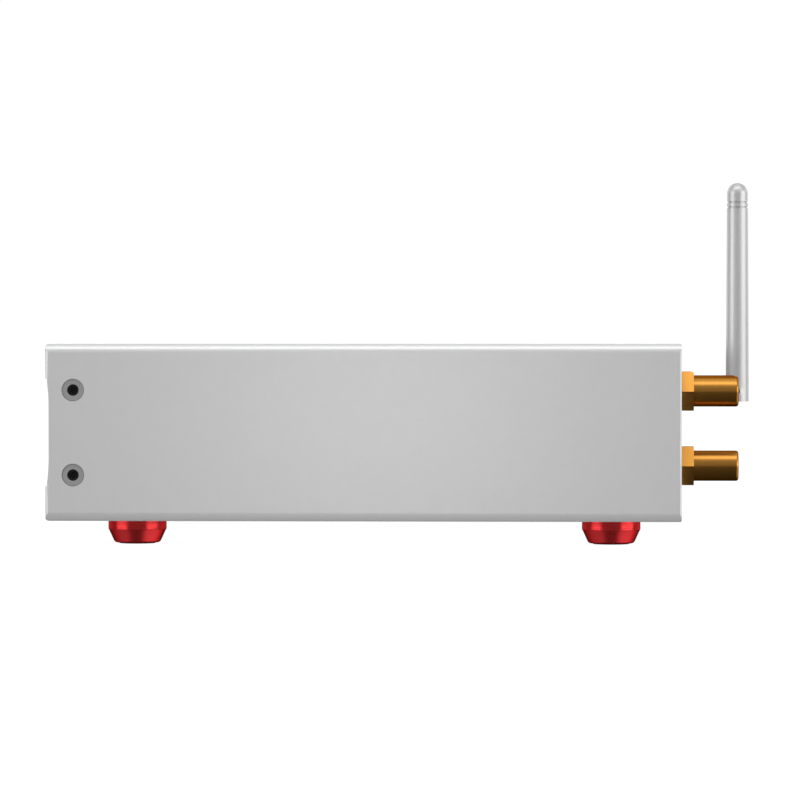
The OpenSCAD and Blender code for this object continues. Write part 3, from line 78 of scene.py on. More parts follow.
class Graph:
    """Places and joins the nodes of one node tree."""

    def __init__(self, tree: bpy.types.NodeTree) -> None:
        """Keep the tree that the nodes go into."""
        self.tree = tree

    def add(self, kind: str, inputs: dict | None = None, **settings: object) -> bpy.types.Node:
        """Add a node and fill its inputs.

        Args:
            kind: The node's type name.
            inputs: Plain values or output sockets, by the input's name or number.
            settings: Options of the node itself.

        Returns:
            The new node.
        """
        node = self.tree.nodes.new(kind)
        for name, value in settings.items():
            setattr(node, name, value)
        for key, value in (inputs or {}).items():
            self.feed(node.inputs[key], value)
        return node

    def feed(self, target: Socket, value: object) -> None:
        """Join an output socket to an input, or set the input's own value.

        Args:
            target: The input.
            value: An output socket or a plain value.
        """
        if isinstance(value, bpy.types.NodeSocket):
            self.tree.links.new(value, target)
        else:
            target.default_value = value

    def maths(self, operation: str, a: object, b: object = 0.0, c: object = 0.0, clamp: bool = False) -> Socket:
        """Add a Math node.

        Args:
            operation: The operation's name.
            a: First value or socket.
            b: Second value or socket.
            c: Third value or socket.
            clamp: Whether the result stays between 0 and 1.

        Returns:
            The node's output.
        """
        return self.add("ShaderNodeMath", {0: a, 1: b, 2: c}, operation=operation, use_clamp=clamp).outputs[0]

    def vector(self, operation: str, a: object, b: object = (0.0, 0.0, 0.0)) -> Socket:
        """Add a Vector Math node.

        Args:
            operation: The operation's name.
            a: First vector or socket.
            b: Second vector or socket.

        Returns:
            The node's vector output, or its value where the operation gives a number.
        """
        node = self.add("ShaderNodeVectorMath", {0: a, 1: b}, operation=operation)
        return node.outputs["Value" if operation in ("DOT_PRODUCT", "LENGTH") else "Vector"]

    def millimetres(self) -> Socket:
        """Give the position in the object's own frame, in millimetres.

        Returns:
            The position.
        """
        place = self.vector("SCALE", self.add("ShaderNodeTexCoord").outputs["Object"])
        place.node.inputs["Scale"].default_value = 1 / MM
        return place

    def noise(self, at: Socket, scale: object, detail: float = 2.0, lines: bool = False) -> Socket:
        """Add a Noise Texture.

        Args:
            at: The position, or the distance along one line.
            scale: How many features there are in one unit.
            detail: How many finer layers are added.
            lines: Whether the noise runs along one line only.

        Returns:
            The noise's value, about 0.5 on average.
        """
        node = self.add("ShaderNodeTexNoise", {"Scale": scale, "Detail": detail, "Roughness": 0.6},
                        noise_dimensions="1D" if lines else "3D")
        self.feed(node.inputs["W" if lines else "Vector"], at)
        return node.outputs[0]

    def blend(self, share: Socket, low: Sequence[float], high: object) -> Socket:
        """Mix two colours by a mask.

        Args:
            share: The mask.
            low: The colour where the mask is 0, or a socket.
            high: The colour where the mask is 1, or a socket.

        Returns:
            The mixed colour.
        """
        mix = self.add("ShaderNodeMix", data_type="RGBA", blend_type="MIX")
        ends = {6: low, 7: high}
        self.feed(mix.inputs[0], share)
        for key, colour in ends.items():
            self.feed(mix.inputs[key], colour if isinstance(colour, bpy.types.NodeSocket) else (*colour, 1.0))
        return mix.outputs[2]


class Effect(Enum):
    """The shared effects. Each is a node group that is built once."""

    GRAIN = "fine_grain"
    TURNED = "turned_rings"
    SPUN = "spun_face"
    WEAR = "edge_wear"
    MOTTLE = "soft_mottle"

    def inputs(self) -> dict[str, tuple[str, object]]:
        """Give each input's socket type and default value.

        Returns:
            Pairs of type and value, by the input's name.
        """
        size = {"Size": ("NodeSocketFloat", 0.1)}
        axis = {"Axis": ("NodeSocketVector", (0.0, 1.0, 0.0))}
        return {
            Effect.GRAIN: size | {"Stretch": ("NodeSocketVector", (1.0, 1.0, 1.0))},
            Effect.TURNED: size | axis,
            Effect.SPUN: size | axis | {"Centre": ("NodeSocketVector", (0.0, 0.0, 0.0))},
            Effect.WEAR: {"Radius": ("NodeSocketFloat", 0.2), "Amount": ("NodeSocketFloat", 0.5)},
            Effect.MOTTLE: size,
        }[self]

    def outputs(self) -> tuple[str, ...]:
        """Name the outputs."""
        return ("Mask",) if self in (Effect.WEAR, Effect.MOTTLE) else ("Height", "Tone")

    def tree(self) -> bpy.types.NodeTree:
        """Find this effect's group, or build it.

        Returns:
            The shader node group.
        """
        found = bpy.data.node_groups.get(self.value)
        if found:
            return found
        group = bpy.data.node_groups.new(self.value, "ShaderNodeTree")
        for name, (kind, default) in self.inputs().items():
            group.interface.new_socket(name, in_out="INPUT", socket_type=kind).default_value = default
        for name in self.outputs():
            group.interface.new_socket(name, in_out="OUTPUT", socket_type="NodeSocketFloat")
        graph = Graph(group)
        entry, leave = graph.add("NodeGroupInput"), graph.add("NodeGroupOutput")
        place = graph.millimetres()
        made = {
            Effect.GRAIN: self._grain, Effect.TURNED: self._turned, Effect.SPUN: self._spun,
            Effect.WEAR: self._wear, Effect.MOTTLE: self._mottle,
        }[self](graph, entry.outputs, place)
        for name, socket in zip(self.outputs(), made):
            graph.feed(leave.inputs[name], socket)
        return group

    @staticmethod
    def _grain(graph: Graph, given: bpy.types.NodeOutputs, place: Socket) -> tuple[Socket, ...]:
        """Blasted, moulded or brushed grain.

        Args:
            graph: The group's graph.
            given: The group's inputs.
            place: The position in millimetres.

        Returns:
            The height and the tone.
        """
        at = graph.vector("DIVIDE", place, given["Stretch"])
        fine = graph.noise(at, graph.maths("DIVIDE", 1.0, given["Size"]), 3.0)
        broad = graph.noise(at, graph.maths("DIVIDE", BROAD_TONE, given["Size"]), 2.0)
        rest = graph.maths("MULTIPLY", broad, 1 - FINE_SHARE)
        return fine, graph.maths("MULTIPLY_ADD", fine, FINE_SHARE, rest)

    @staticmethod
    def _turned(graph: Graph, given: bpy.types.NodeOutputs, place: Socket) -> tuple[Socket, ...]:
        """Rings that a lathe leaves round an axis."""
        along = graph.maths("DIVIDE", graph.vector("DOT_PRODUCT", place, given["Axis"]), given["Size"])
        return graph.noise(along, 1.0, 2.0, True), graph.noise(along, RING_TONE, 1.0, True)

    @staticmethod
    def _spun(graph: Graph, given: bpy.types.NodeOutputs, place: Socket) -> tuple[Socket, ...]:
        """Rings on a face, about an axis through the centre.

        Args:
            graph: The group's graph.
            given: The group's inputs.
            place: The position in millimetres.

        Returns:
            The height and the tone.
        """
        across = graph.vector("CROSS_PRODUCT", graph.vector("SUBTRACT", place, given["Centre"]), given["Axis"])
        out = graph.maths("DIVIDE", graph.vector("LENGTH", across), given["Size"])
        return graph.noise(out, 1.0, 2.0, True), graph.noise(out, FACE_TONE, 1.0, True)

    @staticmethod
    def _wear(graph: Graph, given: bpy.types.NodeOutputs, place: Socket) -> tuple[Socket, ...]:
        """Rubbed edges, broken up by noise.

        Args:
            graph: The group's graph.
            given: The group's inputs.
            place: The position in millimetres.

        Returns:
            The mask.
        """
        rounded = graph.add("ShaderNodeBevel", {"Radius": graph.maths("MULTIPLY", given["Radius"], MM)}, samples=4)
        true = graph.add("ShaderNodeNewGeometry").outputs["Normal"]
        turn = graph.maths("SUBTRACT", 1.0, graph.vector("DOT_PRODUCT", rounded.outputs[0], true))
        spots = graph.maths("MULTIPLY_ADD", graph.noise(place, SPOT_SCALE, 3.0), *SPOT_LEVEL, True)
        mask = graph.maths("MULTIPLY", graph.maths("MULTIPLY", turn, EDGE_GAIN, clamp=True), spots)
        return (graph.maths("MULTIPLY", mask, given["Amount"], clamp=True),)

    @staticmethod
    def _mottle(graph: Graph, given: bpy.types.NodeOutputs, place: Socket) -> tuple[Socket, ...]:
        """Broad, faint patches such as handling leaves."""
        scale = graph.maths("DIVIDE", 1.0, given["Size"])
        return (graph.maths("SUBTRACT", graph.noise(place, scale, 4.0), 0.5),)


class Surface(Enum):
    """How a surface was made, which sets its grain."""

    BLASTED = "blasted"
    BRUSHED = "brushed"
    TURNED = "turned"
    SPUN = "spun"
    MOULDED = "moulded"


@dataclass(frozen=True)
class Finish:
    """One finish. Colours are linear, lengths in millimetres."""

    name: str
    slot: str
    colour: Colour
    roughness: float
    metallic: float = 0.0
    surface: Surface = Surface.BLASTED
    grain: float = 0.1
    bump: float = 0.1
    drift: float = 0.05
    haze: float = 0.1
    wear: float = 0.0
    worn: Colour = (0.8, 0.8, 0.8)
    coat: float = 0.0
    edge: Colour = (1.0, 1.0, 1.0)
    # deep: share of painted shade, a darker colour where the surface turns away from the view
    deep: float = 0.0
    axis: Point = (0.0, 1.0, 0.0)
    centre: Point = (0.0, 0.0, 0.0)

    def effect(self, graph: Graph, kind: Effect, **values: object) -> bpy.types.NodeOutputs:
        """Place a shared effect in this material.

        Args:
            graph: The material's graph.
            kind: The effect.
            values: The group's inputs.

        Returns:
            The group's outputs.
        """
        return graph.add("ShaderNodeGroup", values, node_tree=kind.tree()).outputs

    def texture(self, graph: Graph) -> tuple[Socket, Socket]:
        """Place the surface's grain.

        Args:
            graph: The material's graph.

        Returns:
            Its height and its tone.
        """
        if self.surface is Surface.TURNED:
            out = self.effect(graph, Effect.TURNED, Size=self.grain, Axis=self.axis)
        elif self.surface is Surface.SPUN:
            out = self.effect(graph, Effect.SPUN, Size=self.grain, Axis=self.axis, Centre=self.centre)
        else:
            stretch = BRUSH_STRETCH if self.surface is Surface.BRUSHED else 0.0
            long = tuple(1.0 + stretch * a for a in self.axis)
            out = self.effect(graph, Effect.GRAIN, Size=self.grain, Stretch=long)
        return out["Height"], out["Tone"]

    def paint(self, graph: Graph, tone: Socket) -> Socket:
        """Give the colour over the surface, before any wear.

        Args:
            graph: The material's graph.
            tone: The grain's tone.

        Returns:
            The colour.
        """
        low = tuple(c * (1 - self.drift) for c in self.colour)
        high = tuple(min(1.0, c * (1 + self.drift)) for c in self.colour)
        return graph.blend(tone, low, high)

    def shader(self, node: bpy.types.Node) -> None:
        """Set the shader's plain values.

        Args:
            node: The material's shader.
        """
        node.inputs["Metallic"].default_value = self.metallic
        node.inputs["Specular Tint"].default_value = (*self.edge, 1.0)
        node.inputs["Coat Weight"].default_value = self.coat
        node.inputs["Coat Roughness"].default_value = COAT_ROUGHNESS

    def build(self) -> bpy.types.Material:
        """Find or build the material.

        Returns:
            The material.
        """
        found = bpy.data.materials.get(self.name)
        if found:
            return found
        material = bpy.data.materials.new(self.name)
        material.use_nodes = True
        graph = Graph(material.node_tree)
        node = material.node_tree.nodes["Principled BSDF"]
        self.shader(node)
        height, tone = self.texture(graph)
        colour = self.paint(graph, tone)
        rough = graph.maths("MULTIPLY_ADD", self.effect(graph, Effect.MOTTLE, Size=PATCH_SIZE)["Mask"], self.haze,
                            self.roughness, True)
        # Painted shade: the colour darkens towards the rim, where the surface turns away from the view.
        if self.deep:
            facing = graph.add("ShaderNodeLayerWeight", {"Blend": 0.5}).outputs["Facing"]
            rim = graph.maths("MULTIPLY", graph.maths("MULTIPLY_ADD", facing, *RIM_LEVEL, clamp=True), self.deep)
            colour = graph.blend(rim, colour, tuple(RIM_SHADE * c * c for c in self.colour))
        if self.wear:
            mask = self.effect(graph, Effect.WEAR, Radius=EDGE_RADIUS, Amount=self.wear)["Mask"]
            colour = graph.blend(mask, colour, self.worn)
        graph.feed(node.inputs["Base Color"], colour)
        graph.feed(node.inputs["Roughness"], rough)
        bump = graph.add("ShaderNodeBump", {"Strength": self.bump, "Distance": self.grain * MM, "Height": height})
        graph.feed(node.inputs["Normal"], bump.outputs[0])
        material.diffuse_color = (*self.colour, 1.0)
        return material


@dataclass(frozen=True)
class SocketScrew(Finish):
    """Grey screws with painted shade, near black, inside their driving sockets. The screws stand in pairs about the
    centre.
    """

    apart: float = 11.5
    mouth: float = 1.62
    crisp: float = 12.0
    # Colour of the painted shade inside each socket.
    socket_shade: Colour = (0.02, 0.02, 0.02)

    def paint(self, graph: Graph, tone: Socket) -> Socket:
        """Give the colour over the surface, before any wear.

        Args:
            graph: The material's graph.
            tone: The grain's tone.

        Returns:
            The colour.
        """
        place = graph.millimetres()
        local = graph.vector("ABSOLUTE", graph.vector("SUBTRACT", place, self.centre))
        across = graph.vector("MULTIPLY", graph.vector("SUBTRACT", local, (0.0, 0.0, self.apart)), (0.0, 1.0, 1.0))
        # Painted shade: near black over each socket's mouth, where the recess lies in shade.
        inside = graph.maths("MULTIPLY_ADD", graph.vector("LENGTH", across), -self.crisp, self.crisp * self.mouth,
                             clamp=True)
        return graph.blend(inside, super().paint(graph, tone), self.socket_shade)


@dataclass(frozen=True)
class GroovedRod(Finish):
    """A painted rod with painted shade in the grooves round it. Their heights run along Z."""

    grooves: tuple[float, ...] = ()
    half: float = 0.28
    soft: float = 0.08
    shade: float = 0.88

    def paint(self, graph: Graph, tone: Socket) -> Socket:
        """Give the colour over the surface, before any wear.

        Args:
            graph: The material's graph.
            tone: The grain's tone.

        Returns:
            The colour.
        """
        colour = super().paint(graph, tone)
        height = graph.add("ShaderNodeSeparateXYZ", {0: graph.millimetres()}).outputs[2]
        # Painted shade: a darker band at each groove.
        for at in self.grooves:
            off = graph.maths("ABSOLUTE", graph.maths("SUBTRACT", height, at))
            inside = graph.maths("MULTIPLY_ADD", off, -1 / self.soft, self.half / self.soft + 0.5, clamp=True)
            colour = graph.blend(inside, colour, tuple(c * self.shade for c in self.colour))
        return colour


@dataclass(frozen=True)
class SmokedWindow(Finish):
    """Dark acrylic that lets a little light through."""

    clear: float = 0.85
    bends: float = 1.49

    def shader(self, node: bpy.types.Node) -> None:
        """Set the shader's plain values.

        Args:
            node: The material's shader.
        """
        super().shader(node)
        node.inputs["Transmission Weight"].default_value = self.clear
        node.inputs["IOR"].default_value = self.bends


@dataclass(frozen=True)
class CircuitBoard(Finish):
    """Solder resist over a mesh of copper tracks, with tinned spots."""

    track_scale: float = 0.35
    track_wide: float = 0.06
    spot_scale: float = 0.45
    spot_wide: float = 0.13
    raised: float = 1.9
    lift: float = 0.004
    tin: Colour = (0.5, 0.5, 0.48)

    def paint(self, graph: Graph, tone: Socket) -> Socket:
        """Give the colour over the surface, before any wear.

        Args:
            graph: The material's graph.
            tone: The grain's tone.

        Returns:
            The colour.
        """
        base = super().paint(graph, tone)
        place = graph.millimetres()
        cells = graph.add("ShaderNodeTexVoronoi", {"Vector": place, "Scale": self.track_scale},
                          feature="DISTANCE_TO_EDGE", distance="EUCLIDEAN", voronoi_dimensions="3D")
        track = graph.maths("LESS_THAN", cells.outputs["Distance"], self.track_wide)
        dots = graph.add("ShaderNodeTexVoronoi", {"Vector": place, "Scale": self.spot_scale}, feature="F1")
        spot = graph.maths("LESS_THAN", dots.outputs["Distance"], self.spot_wide)
        light = tuple(min(1.0, c * self.raised + self.lift) for c in self.colour)
        return graph.blend(spot, graph.blend(track, base, light), self.tin)


@dataclass(frozen=True)
class DisplayFace(Finish):
    """A dark display with its grid of unlit cells."""

    cells_per_mm: float = 2.5
    gap: float = 0.16
    gap_shade: float = 0.35

    def paint(self, graph: Graph, tone: Socket) -> Socket:
        """Give the colour over the surface, before any wear.

        Args:
            graph: The material's graph.
            tone: The grain's tone. Not used here.

        Returns:
            The colour.
        """
        place = graph.millimetres()
        parts = graph.add("ShaderNodeSeparateXYZ", {0: place}).outputs
        steps = [graph.maths("FRACT", graph.maths("MULTIPLY", parts[k], self.cells_per_mm)) for k in (0, 2)]
        lines = [graph.maths("GREATER_THAN", step, self.gap) for step in steps]
        cell = graph.maths("MULTIPLY", *lines)
        return graph.blend(cell, tuple(c * self.gap_shade for c in self.colour), self.colour)


def finishes() -> dict[str, Finish]:
    """Give every finish of the converter.

    Returns:
        The finishes, by their short names.
    """
    silver = (0.778, 0.778, 0.782)
    gold = (0.715, 0.33, 0.064)
    dark = (0.018, 0.018, 0.019)
    steel = (0.55, 0.55, 0.56)
    return {
        "case": Finish("case_blasted", "case_aluminium", silver, 0.37, 0.55, grain=0.16, bump=0.14, drift=0.03,
                       haze=0.06, wear=0.35, worn=(0.8, 0.8, 0.8)),
        "panel": Finish("panel_blasted", "panel_aluminium", (0.6, 0.6, 0.605), 0.42, 0.55, grain=0.13, bump=0.2,
                        drift=0.035, wear=0.4),
        # deep paints shade on the rims of the feet that turn away from the view.
        "foot": Finish("foot_red", "red_anodised", (0.96, 0.05, 0.054), 0.235, 0.9, Surface.TURNED, 0.22, 0.1, 0.1,
                       wear=0.2, worn=(0.95, 0.2, 0.2), coat=0.05, edge=(0.3, 0.02, 0.02), deep=0.9,
                       axis=(0.0, 0.0, 1.0)),
        "pad": Finish("pad_rubber", "rubber_black", (0.012, 0.012, 0.012), 0.75, surface=Surface.MOULDED, grain=0.4,
                      bump=0.3, drift=0.2),
        "screw": Finish("screw_dark", "screw_steel", (0.19, 0.19, 0.195), 0.36, 0.85, Surface.SPUN, 0.12, 0.25, 0.15,
                        wear=0.5, worn=(0.5, 0.5, 0.5)),
        # deep paints shade on the rims of the gold that turn away from the view.
        "gold": Finish("gold_turned", "gold", gold, 0.3, 1.0, Surface.TURNED, 0.14, 0.05, 0.05, 0.05, wear=0.15,
                       worn=(0.9, 0.55, 0.24), edge=(0.6, 0.32, 0.08), deep=0.75),
        "gold_plain": Finish("gold_plain", "gold", gold, 0.26, 1.0, grain=0.2, bump=0.08, drift=0.08,
                             edge=(0.7, 0.4, 0.1)),
        "steel": Finish("steel_drawn", "steel", steel, 0.3, 1.0, Surface.BRUSHED, 0.12, 0.12, 0.08, wear=0.3),
        "window": SmokedWindow("window_smoked", "window", (0.13, 0.132, 0.138), 0.04, grain=3.0, bump=0.002,
                               drift=0.03, haze=0.02),
        "display": DisplayFace("display_cells", "display_glass", (0.012, 0.022, 0.024), 0.18, grain=1.0, bump=0.02,
                               coat=0.6),
        "board": CircuitBoard("board_resist", "board_green", (0.008, 0.085, 0.03), 0.32, grain=0.5, bump=0.12,
                              coat=0.3),
        "part": Finish("part_moulded", "part_black", dark, 0.42, surface=Surface.MOULDED, grain=0.22, bump=0.2,
                       drift=0.25, wear=0.25, worn=(0.06, 0.06, 0.06)),
        "white": Finish("white_moulded", "white_plastic", (0.72, 0.7, 0.64), 0.35, surface=Surface.MOULDED,
                        grain=0.5, bump=0.06, drift=0.03, wear=0.1, worn=(0.8, 0.79, 0.75)),
        "red": Finish("red_moulded", "red_plastic", (0.45, 0.01, 0.012), 0.34, surface=Surface.MOULDED, grain=0.5,
                      bump=0.06, drift=0.06, wear=0.15, worn=(0.7, 0.12, 0.1)),
        "black": Finish("black_moulded", "black_plastic", (0.014, 0.014, 0.015), 0.4, surface=Surface.MOULDED,
                        grain=0.3, bump=0.24, drift=0.25, wear=0.3, worn=(0.07, 0.07, 0.07)),
        "rocker": Finish("rocker_gloss", "black_plastic", (0.012, 0.012, 0.013), 0.22, surface=Surface.MOULDED,
                         grain=0.6, bump=0.06, drift=0.2, wear=0.3, worn=(0.06, 0.06, 0.06), coat=0.3),
        "pipe": Finish("pipe_clear", "light_pipe", (0.78, 0.8, 0.82), 0.16, surface=Surface.MOULDED, grain=0.8,
                       bump=0.04, coat=0.5),
        "antenna": GroovedRod("antenna_painted", "antenna_plastic", (0.685, 0.685, 0.69), 0.38, 0.6, grain=0.2,
                              bump=0.012, drift=0.03, haze=0.05, wear=0.05, worn=(0.76, 0.76, 0.76), coat=0.05),
        "can": Finish("can_sleeve", "capacitor", (0.012, 0.018, 0.085), 0.25, surface=Surface.MOULDED, grain=0.8,
                      bump=0.05, drift=0.12, coat=0.4),
        "can_top": Finish("can_top", "steel", (0.68, 0.68, 0.69), 0.32, 1.0, grain=0.15, bump=0.1, drift=0.06),
        "tape": Finish("winding_tape", "winding_tape", (0.52, 0.27, 0.03), 0.22, surface=Surface.MOULDED, grain=0.7,
                       bump=0.1, drift=0.25, coat=0.6),
        "sink": Finish("sink_black", "heat_sink_black", (0.02, 0.02, 0.022), 0.38, 0.7, Surface.BRUSHED, 0.12, 0.15,
                       0.2, wear=0.4, worn=(0.3, 0.3, 0.3), axis=(0.0, 0.0, 1.0)),
        "brown": Finish("lead_brown", "lead_brown", (0.075, 0.024, 0.008), 0.36, surface=Surface.MOULDED, grain=0.6,
                        bump=0.1, drift=0.15),
        "ivory": Finish("lead_white", "lead_white", (0.6, 0.59, 0.55), 0.38, surface=Surface.MOULDED, grain=0.6,
                        bump=0.1, drift=0.05),
        "ceramic": Finish("fuse_ceramic", "ceramic_white", (0.7, 0.69, 0.65), 0.28, grain=0.4, bump=0.08,
                          drift=0.03, coat=0.3),
    }


FINISHES = finishes()


def spun_button(name: str, lo: Vector, hi: Vector) -> Finish:
    """Give the finish of one button, its rings centred on the button.

    Args:
        name: The button's node.
        lo: The lowest corner of its box.
        hi: The highest corner of its box.

    Returns:
        The finish.
    """
    centre = tuple((lo + hi) / 2 / MM)
    return Finish(f"{name}_spun", "button_aluminium", (0.68, 0.68, 0.685), 0.3, 0.9, Surface.SPUN, 0.14, 0.1, 0.05,
                  wear=0.2, worn=(0.85, 0.85, 0.85), centre=centre)


class Shape:
    """A mesh that bmesh operators build, in metres, in the part's frame."""

    def __init__(self) -> None:
        """Start an empty mesh."""
        self.mesh = bmesh.new()

    def box(self, lo: Sequence[float], hi: Sequence[float], bevel: float = 0.0) -> list[bmesh.types.BMVert]:
        """Add a box, its edges rounded.

        Args:
            lo: Lowest corner.
            hi: Highest corner.
            bevel: Radius of the edges.

        Returns:
            The box's vertices before its edges were rounded.
        """
        low, high = Vector(lo), Vector(hi)
        scale = Matrix.Diagonal((*(high - low), 1.0))
        made = bmesh.ops.create_cube(self.mesh, size=1.0, matrix=Matrix.Translation((low + high) / 2) @ scale)
        if bevel:
            edges = {edge for vert in made["verts"] for edge in vert.link_edges}
            bmesh.ops.bevel(self.mesh, geom=list(edges), offset=bevel, segments=2, profile=0.5, affect="EDGES",
                            material=-1)
        return made["verts"]

    def lathe(self, outline: Sequence[tuple[float, float]], centre: Sequence[float], axis: str = "Y",
              steps: int = 64) -> list[bmesh.types.BMFace]:
        """Spin a closed outline about an axis.

        Args:
            outline: Pairs of radius and height along the axis. It closes on itself.
            centre: The point that the heights start from.
            axis: The axis, "Y" or "Z".
            steps: How many steps make the full turn.

        Returns:
            The new faces.
        """
        before = set(self.mesh.faces)
        along = Vector((0, 1, 0)) if axis == "Y" else Vector((0, 0, 1))
        side = Vector((1, 0, 0))
        verts = [self.mesh.verts.new(Vector(centre) + side * r + along * h) for r, h in outline]
        edges = [self.mesh.edges.new((a, b)) for a, b in zip(verts, verts[1:] + verts[:1])]
        bmesh.ops.spin(self.mesh, geom=verts + edges, cent=centre, axis=along, angle=2 * math.pi, steps=steps,
                       use_merge=True)
        bmesh.ops.remove_doubles(self.mesh, verts=self.mesh.verts, dist=1e-7)
        return [face for face in self.mesh.faces if face not in before]

    def finish(self, name: str, finish: Finish, body: str, smooth: float = 35.0) -> bpy.types.Object:
        """Close the mesh, make it an object and set it on its body.

        Args:
            name: The piece's name.
            finish: Its finish.
            body: The body it rides on.
            smooth: Angle in degrees below which edges shade smooth.

        Returns:
            The new object.
        """
        bmesh.ops.remove_doubles(self.mesh, verts=self.mesh.verts, dist=1e-7)
        bmesh.ops.recalc_face_normals(self.mesh, faces=self.mesh.faces)
        data = bpy.data.meshes.new(name)
        self.mesh.to_mesh(data)
        self.mesh.free()
        data.materials.append(finish.build())
        data.shade_smooth()
        data.set_sharp_from_angle(angle=math.radians(smooth))
        piece = bpy.data.objects.new(name, data)
        bpy.context.scene.collection.objects.link(piece)
        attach(piece, body)
        log.info("made %s: %d faces", name, len(data.polygons))
        return piece


@dataclass
class SubAssembly:
    """What the sub-assemblies share."""

    body: str = "case"
    pieces: list[str] = field(default_factory=list)

    def dress(self, finish: str | Finish, *nodes: str) -> None:
        """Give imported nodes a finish.

        Args:
            finish: The finish, or its short name.
            nodes: The nodes' names.
        """
        chosen = FINISHES[finish] if isinstance(finish, str) else finish
        for name in nodes:
            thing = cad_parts[name]
            thing.data.materials.clear()
            thing.data.materials.append(chosen.build())
            self.pieces.append(name)

    def add(self, shape: Shape, name: str, finish: str, **options: float) -> bpy.types.Object:
        """Finish a new piece and note it.

        Args:
            shape: The piece's mesh.
            name: Its name.
            finish: The short name of its finish.
            options: What Shape.finish takes besides.

        Returns:
            The new object.
        """
        self.pieces.append(name)
        return shape.finish(name, FINISHES[finish], self.body, **options)

    def build(self) -> None:
        """Dress and add the pieces. Each sub-assembly has its own."""
        raise NotImplementedError

    def report(self) -> None:
        """Log what the sub-assembly holds."""
        log.info("%s: %s", type(self).__name__, ", ".join(self.pieces))


@dataclass
class Housing(SubAssembly):
    """The sleeve, both end panels, their screws and the feet."""

    screw_head: float = 2.95

    def build(self) -> None:
        """Dress the metalwork."""
        self.dress("case", "sleeve")
        self.dress("panel", "front_panel", "rear_panel")
        self.dress("screw", "rear_panel_screws", "foot_screws")
        self.dress(self.side_screws(), "front_panel_screws")
        self.dress("foot", "foot_front_left", "foot_front_right", "foot_rear_left", "foot_rear_right")
        self.dress("pad", "foot_pads")

    def side_screws(self) -> Finish:
        """Give the finish of the screws in the sides, centred between each pair, with painted shade in their
        sockets.

        Returns:
            The finish.
        """
        lo, hi = (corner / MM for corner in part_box("front_panel_screws"))
        return SocketScrew("side_screw_grey", "screw_steel", (0.385, 0.385, 0.39), 0.42, 0.5, grain=0.14, bump=0.1,
                           drift=0.06, wear=0.2, worn=(0.5, 0.5, 0.5), centre=tuple((lo + hi) / 2),
                           apart=(hi.z - lo.z) / 2 - self.screw_head)


@dataclass
class FrontControls(SubAssembly):
    """Window, display, buttons and what stands behind the front panel."""

    frame_wide: float = 1.6
    frame_thick: float = 0.12
    frame_in: float = 0.6

    def build(self) -> None:
        """Dress the controls and add the window's dark surround."""
        self.dress("window", "display_window")
        self.dress("display", "display_module")
        self.dress("board", "display_board")
        self.dress("screw", "display_board_screws")
        self.dress("part", "push_switches", "infrared_receiver")
        self.dress("pipe", "status_light_pipe")
        for name in ("power_button", "source_button", "filter_button", "menu_button"):
            self.dress(spun_button(name, *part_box(name)), name)
        self.surround()

    def surround(self) -> None:
        """Add the printed dark surround on the window's back."""
        lo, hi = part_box("display_window")
        shape = Shape()
        wide, thick, edge = (size * MM for size in (self.frame_wide, self.frame_thick, self.frame_in))
        inner = (lo + Vector((wide, 0, wide)), hi - Vector((wide, 0, wide)))
        sides = [((lo.x, lo.z), (hi.x, inner[0].z)), ((lo.x, inner[1].z), (hi.x, hi.z)),
                 ((lo.x, inner[0].z), (inner[0].x, inner[1].z)), ((inner[1].x, inner[0].z), (hi.x, inner[1].z))]
        for (x0, z0), (x1, z1) in sides:
            shape.box((max(x0, lo.x + edge), hi.y, max(z0, lo.z + edge)),
                      (min(x1, hi.x - edge), hi.y + thick, min(z1, hi.z - edge)))
        self.add(shape, "window_surround", "part")


@dataclass
class PhonoSockets(SubAssembly):
    """The three gold phono sockets with their washers and nuts."""

    def build(self) -> None:
        """Dress the sockets."""
        self.dress("gold", "output_left_socket", "output_right_socket", "coaxial_socket")
        self.dress("gold_plain", "phono_contacts", "phono_lock_nuts")
        self.dress("white", "phono_insulators", "washer_white")
        self.dress("red", "washer_red")
        self.dress("black", "washer_black")


@dataclass
class Antenna(SubAssembly):
    """Threaded socket, coupling nut with its knurl, elbow and sheath."""

    teeth: int = 60
    tooth: float = 0.16
    tooth_side: float = 0.09
    knurl_ends: tuple[float, float] = (2.55, 2.75)
    knurl_sunk: float = 0.1
    groove_centres: tuple[float, float] = (-1.2, 0.25)

    def build(self) -> None:
        """Dress the antenna and knurl the coupling nut."""
        self.dress("gold", "antenna_socket", "antenna_coupling_nut", "antenna_elbow")
        self.dress("gold_plain", "antenna_radiator")
        self.dress("steel", "antenna_hinge_pin")
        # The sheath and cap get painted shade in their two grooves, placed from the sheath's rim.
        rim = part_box("antenna_sheath")[1].z / MM
        lower, upper = self.groove_centres
        self.dress(replace(FINISHES["antenna"], grooves=(rim + lower, rim + upper)), "antenna_sheath", "antenna_cap")
        self.knurl()

    def knurl(self) -> None:
        """Raise straight teeth on a band round the coupling nut."""
        lo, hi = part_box("antenna_coupling_nut")
        middle = (lo + hi) / 2
        radius = (hi.x - lo.x) / 2
        low, high = lo.y + self.knurl_ends[0] * MM, hi.y - self.knurl_ends[1] * MM
        under, long = radius - self.knurl_sunk * MM, high - low
        shape = Shape()
        faces = shape.lathe([(under, 0), (radius, 0), (radius, long), (under, long)], (middle.x, low, middle.z),
                            steps=self.teeth)
        near = 0.03 * MM
        outer = [face for face in faces
                 if abs((face.calc_center_median() - middle).cross(Vector((0, 1, 0))).length - radius) < near]
        bmesh.ops.recalc_face_normals(shape.mesh, faces=shape.mesh.faces)
        bmesh.ops.inset_individual(shape.mesh, faces=outer, thickness=self.tooth_side * MM, depth=self.tooth * MM)
        self.add(shape, "coupling_knurl", "gold_plain", smooth=20.0)


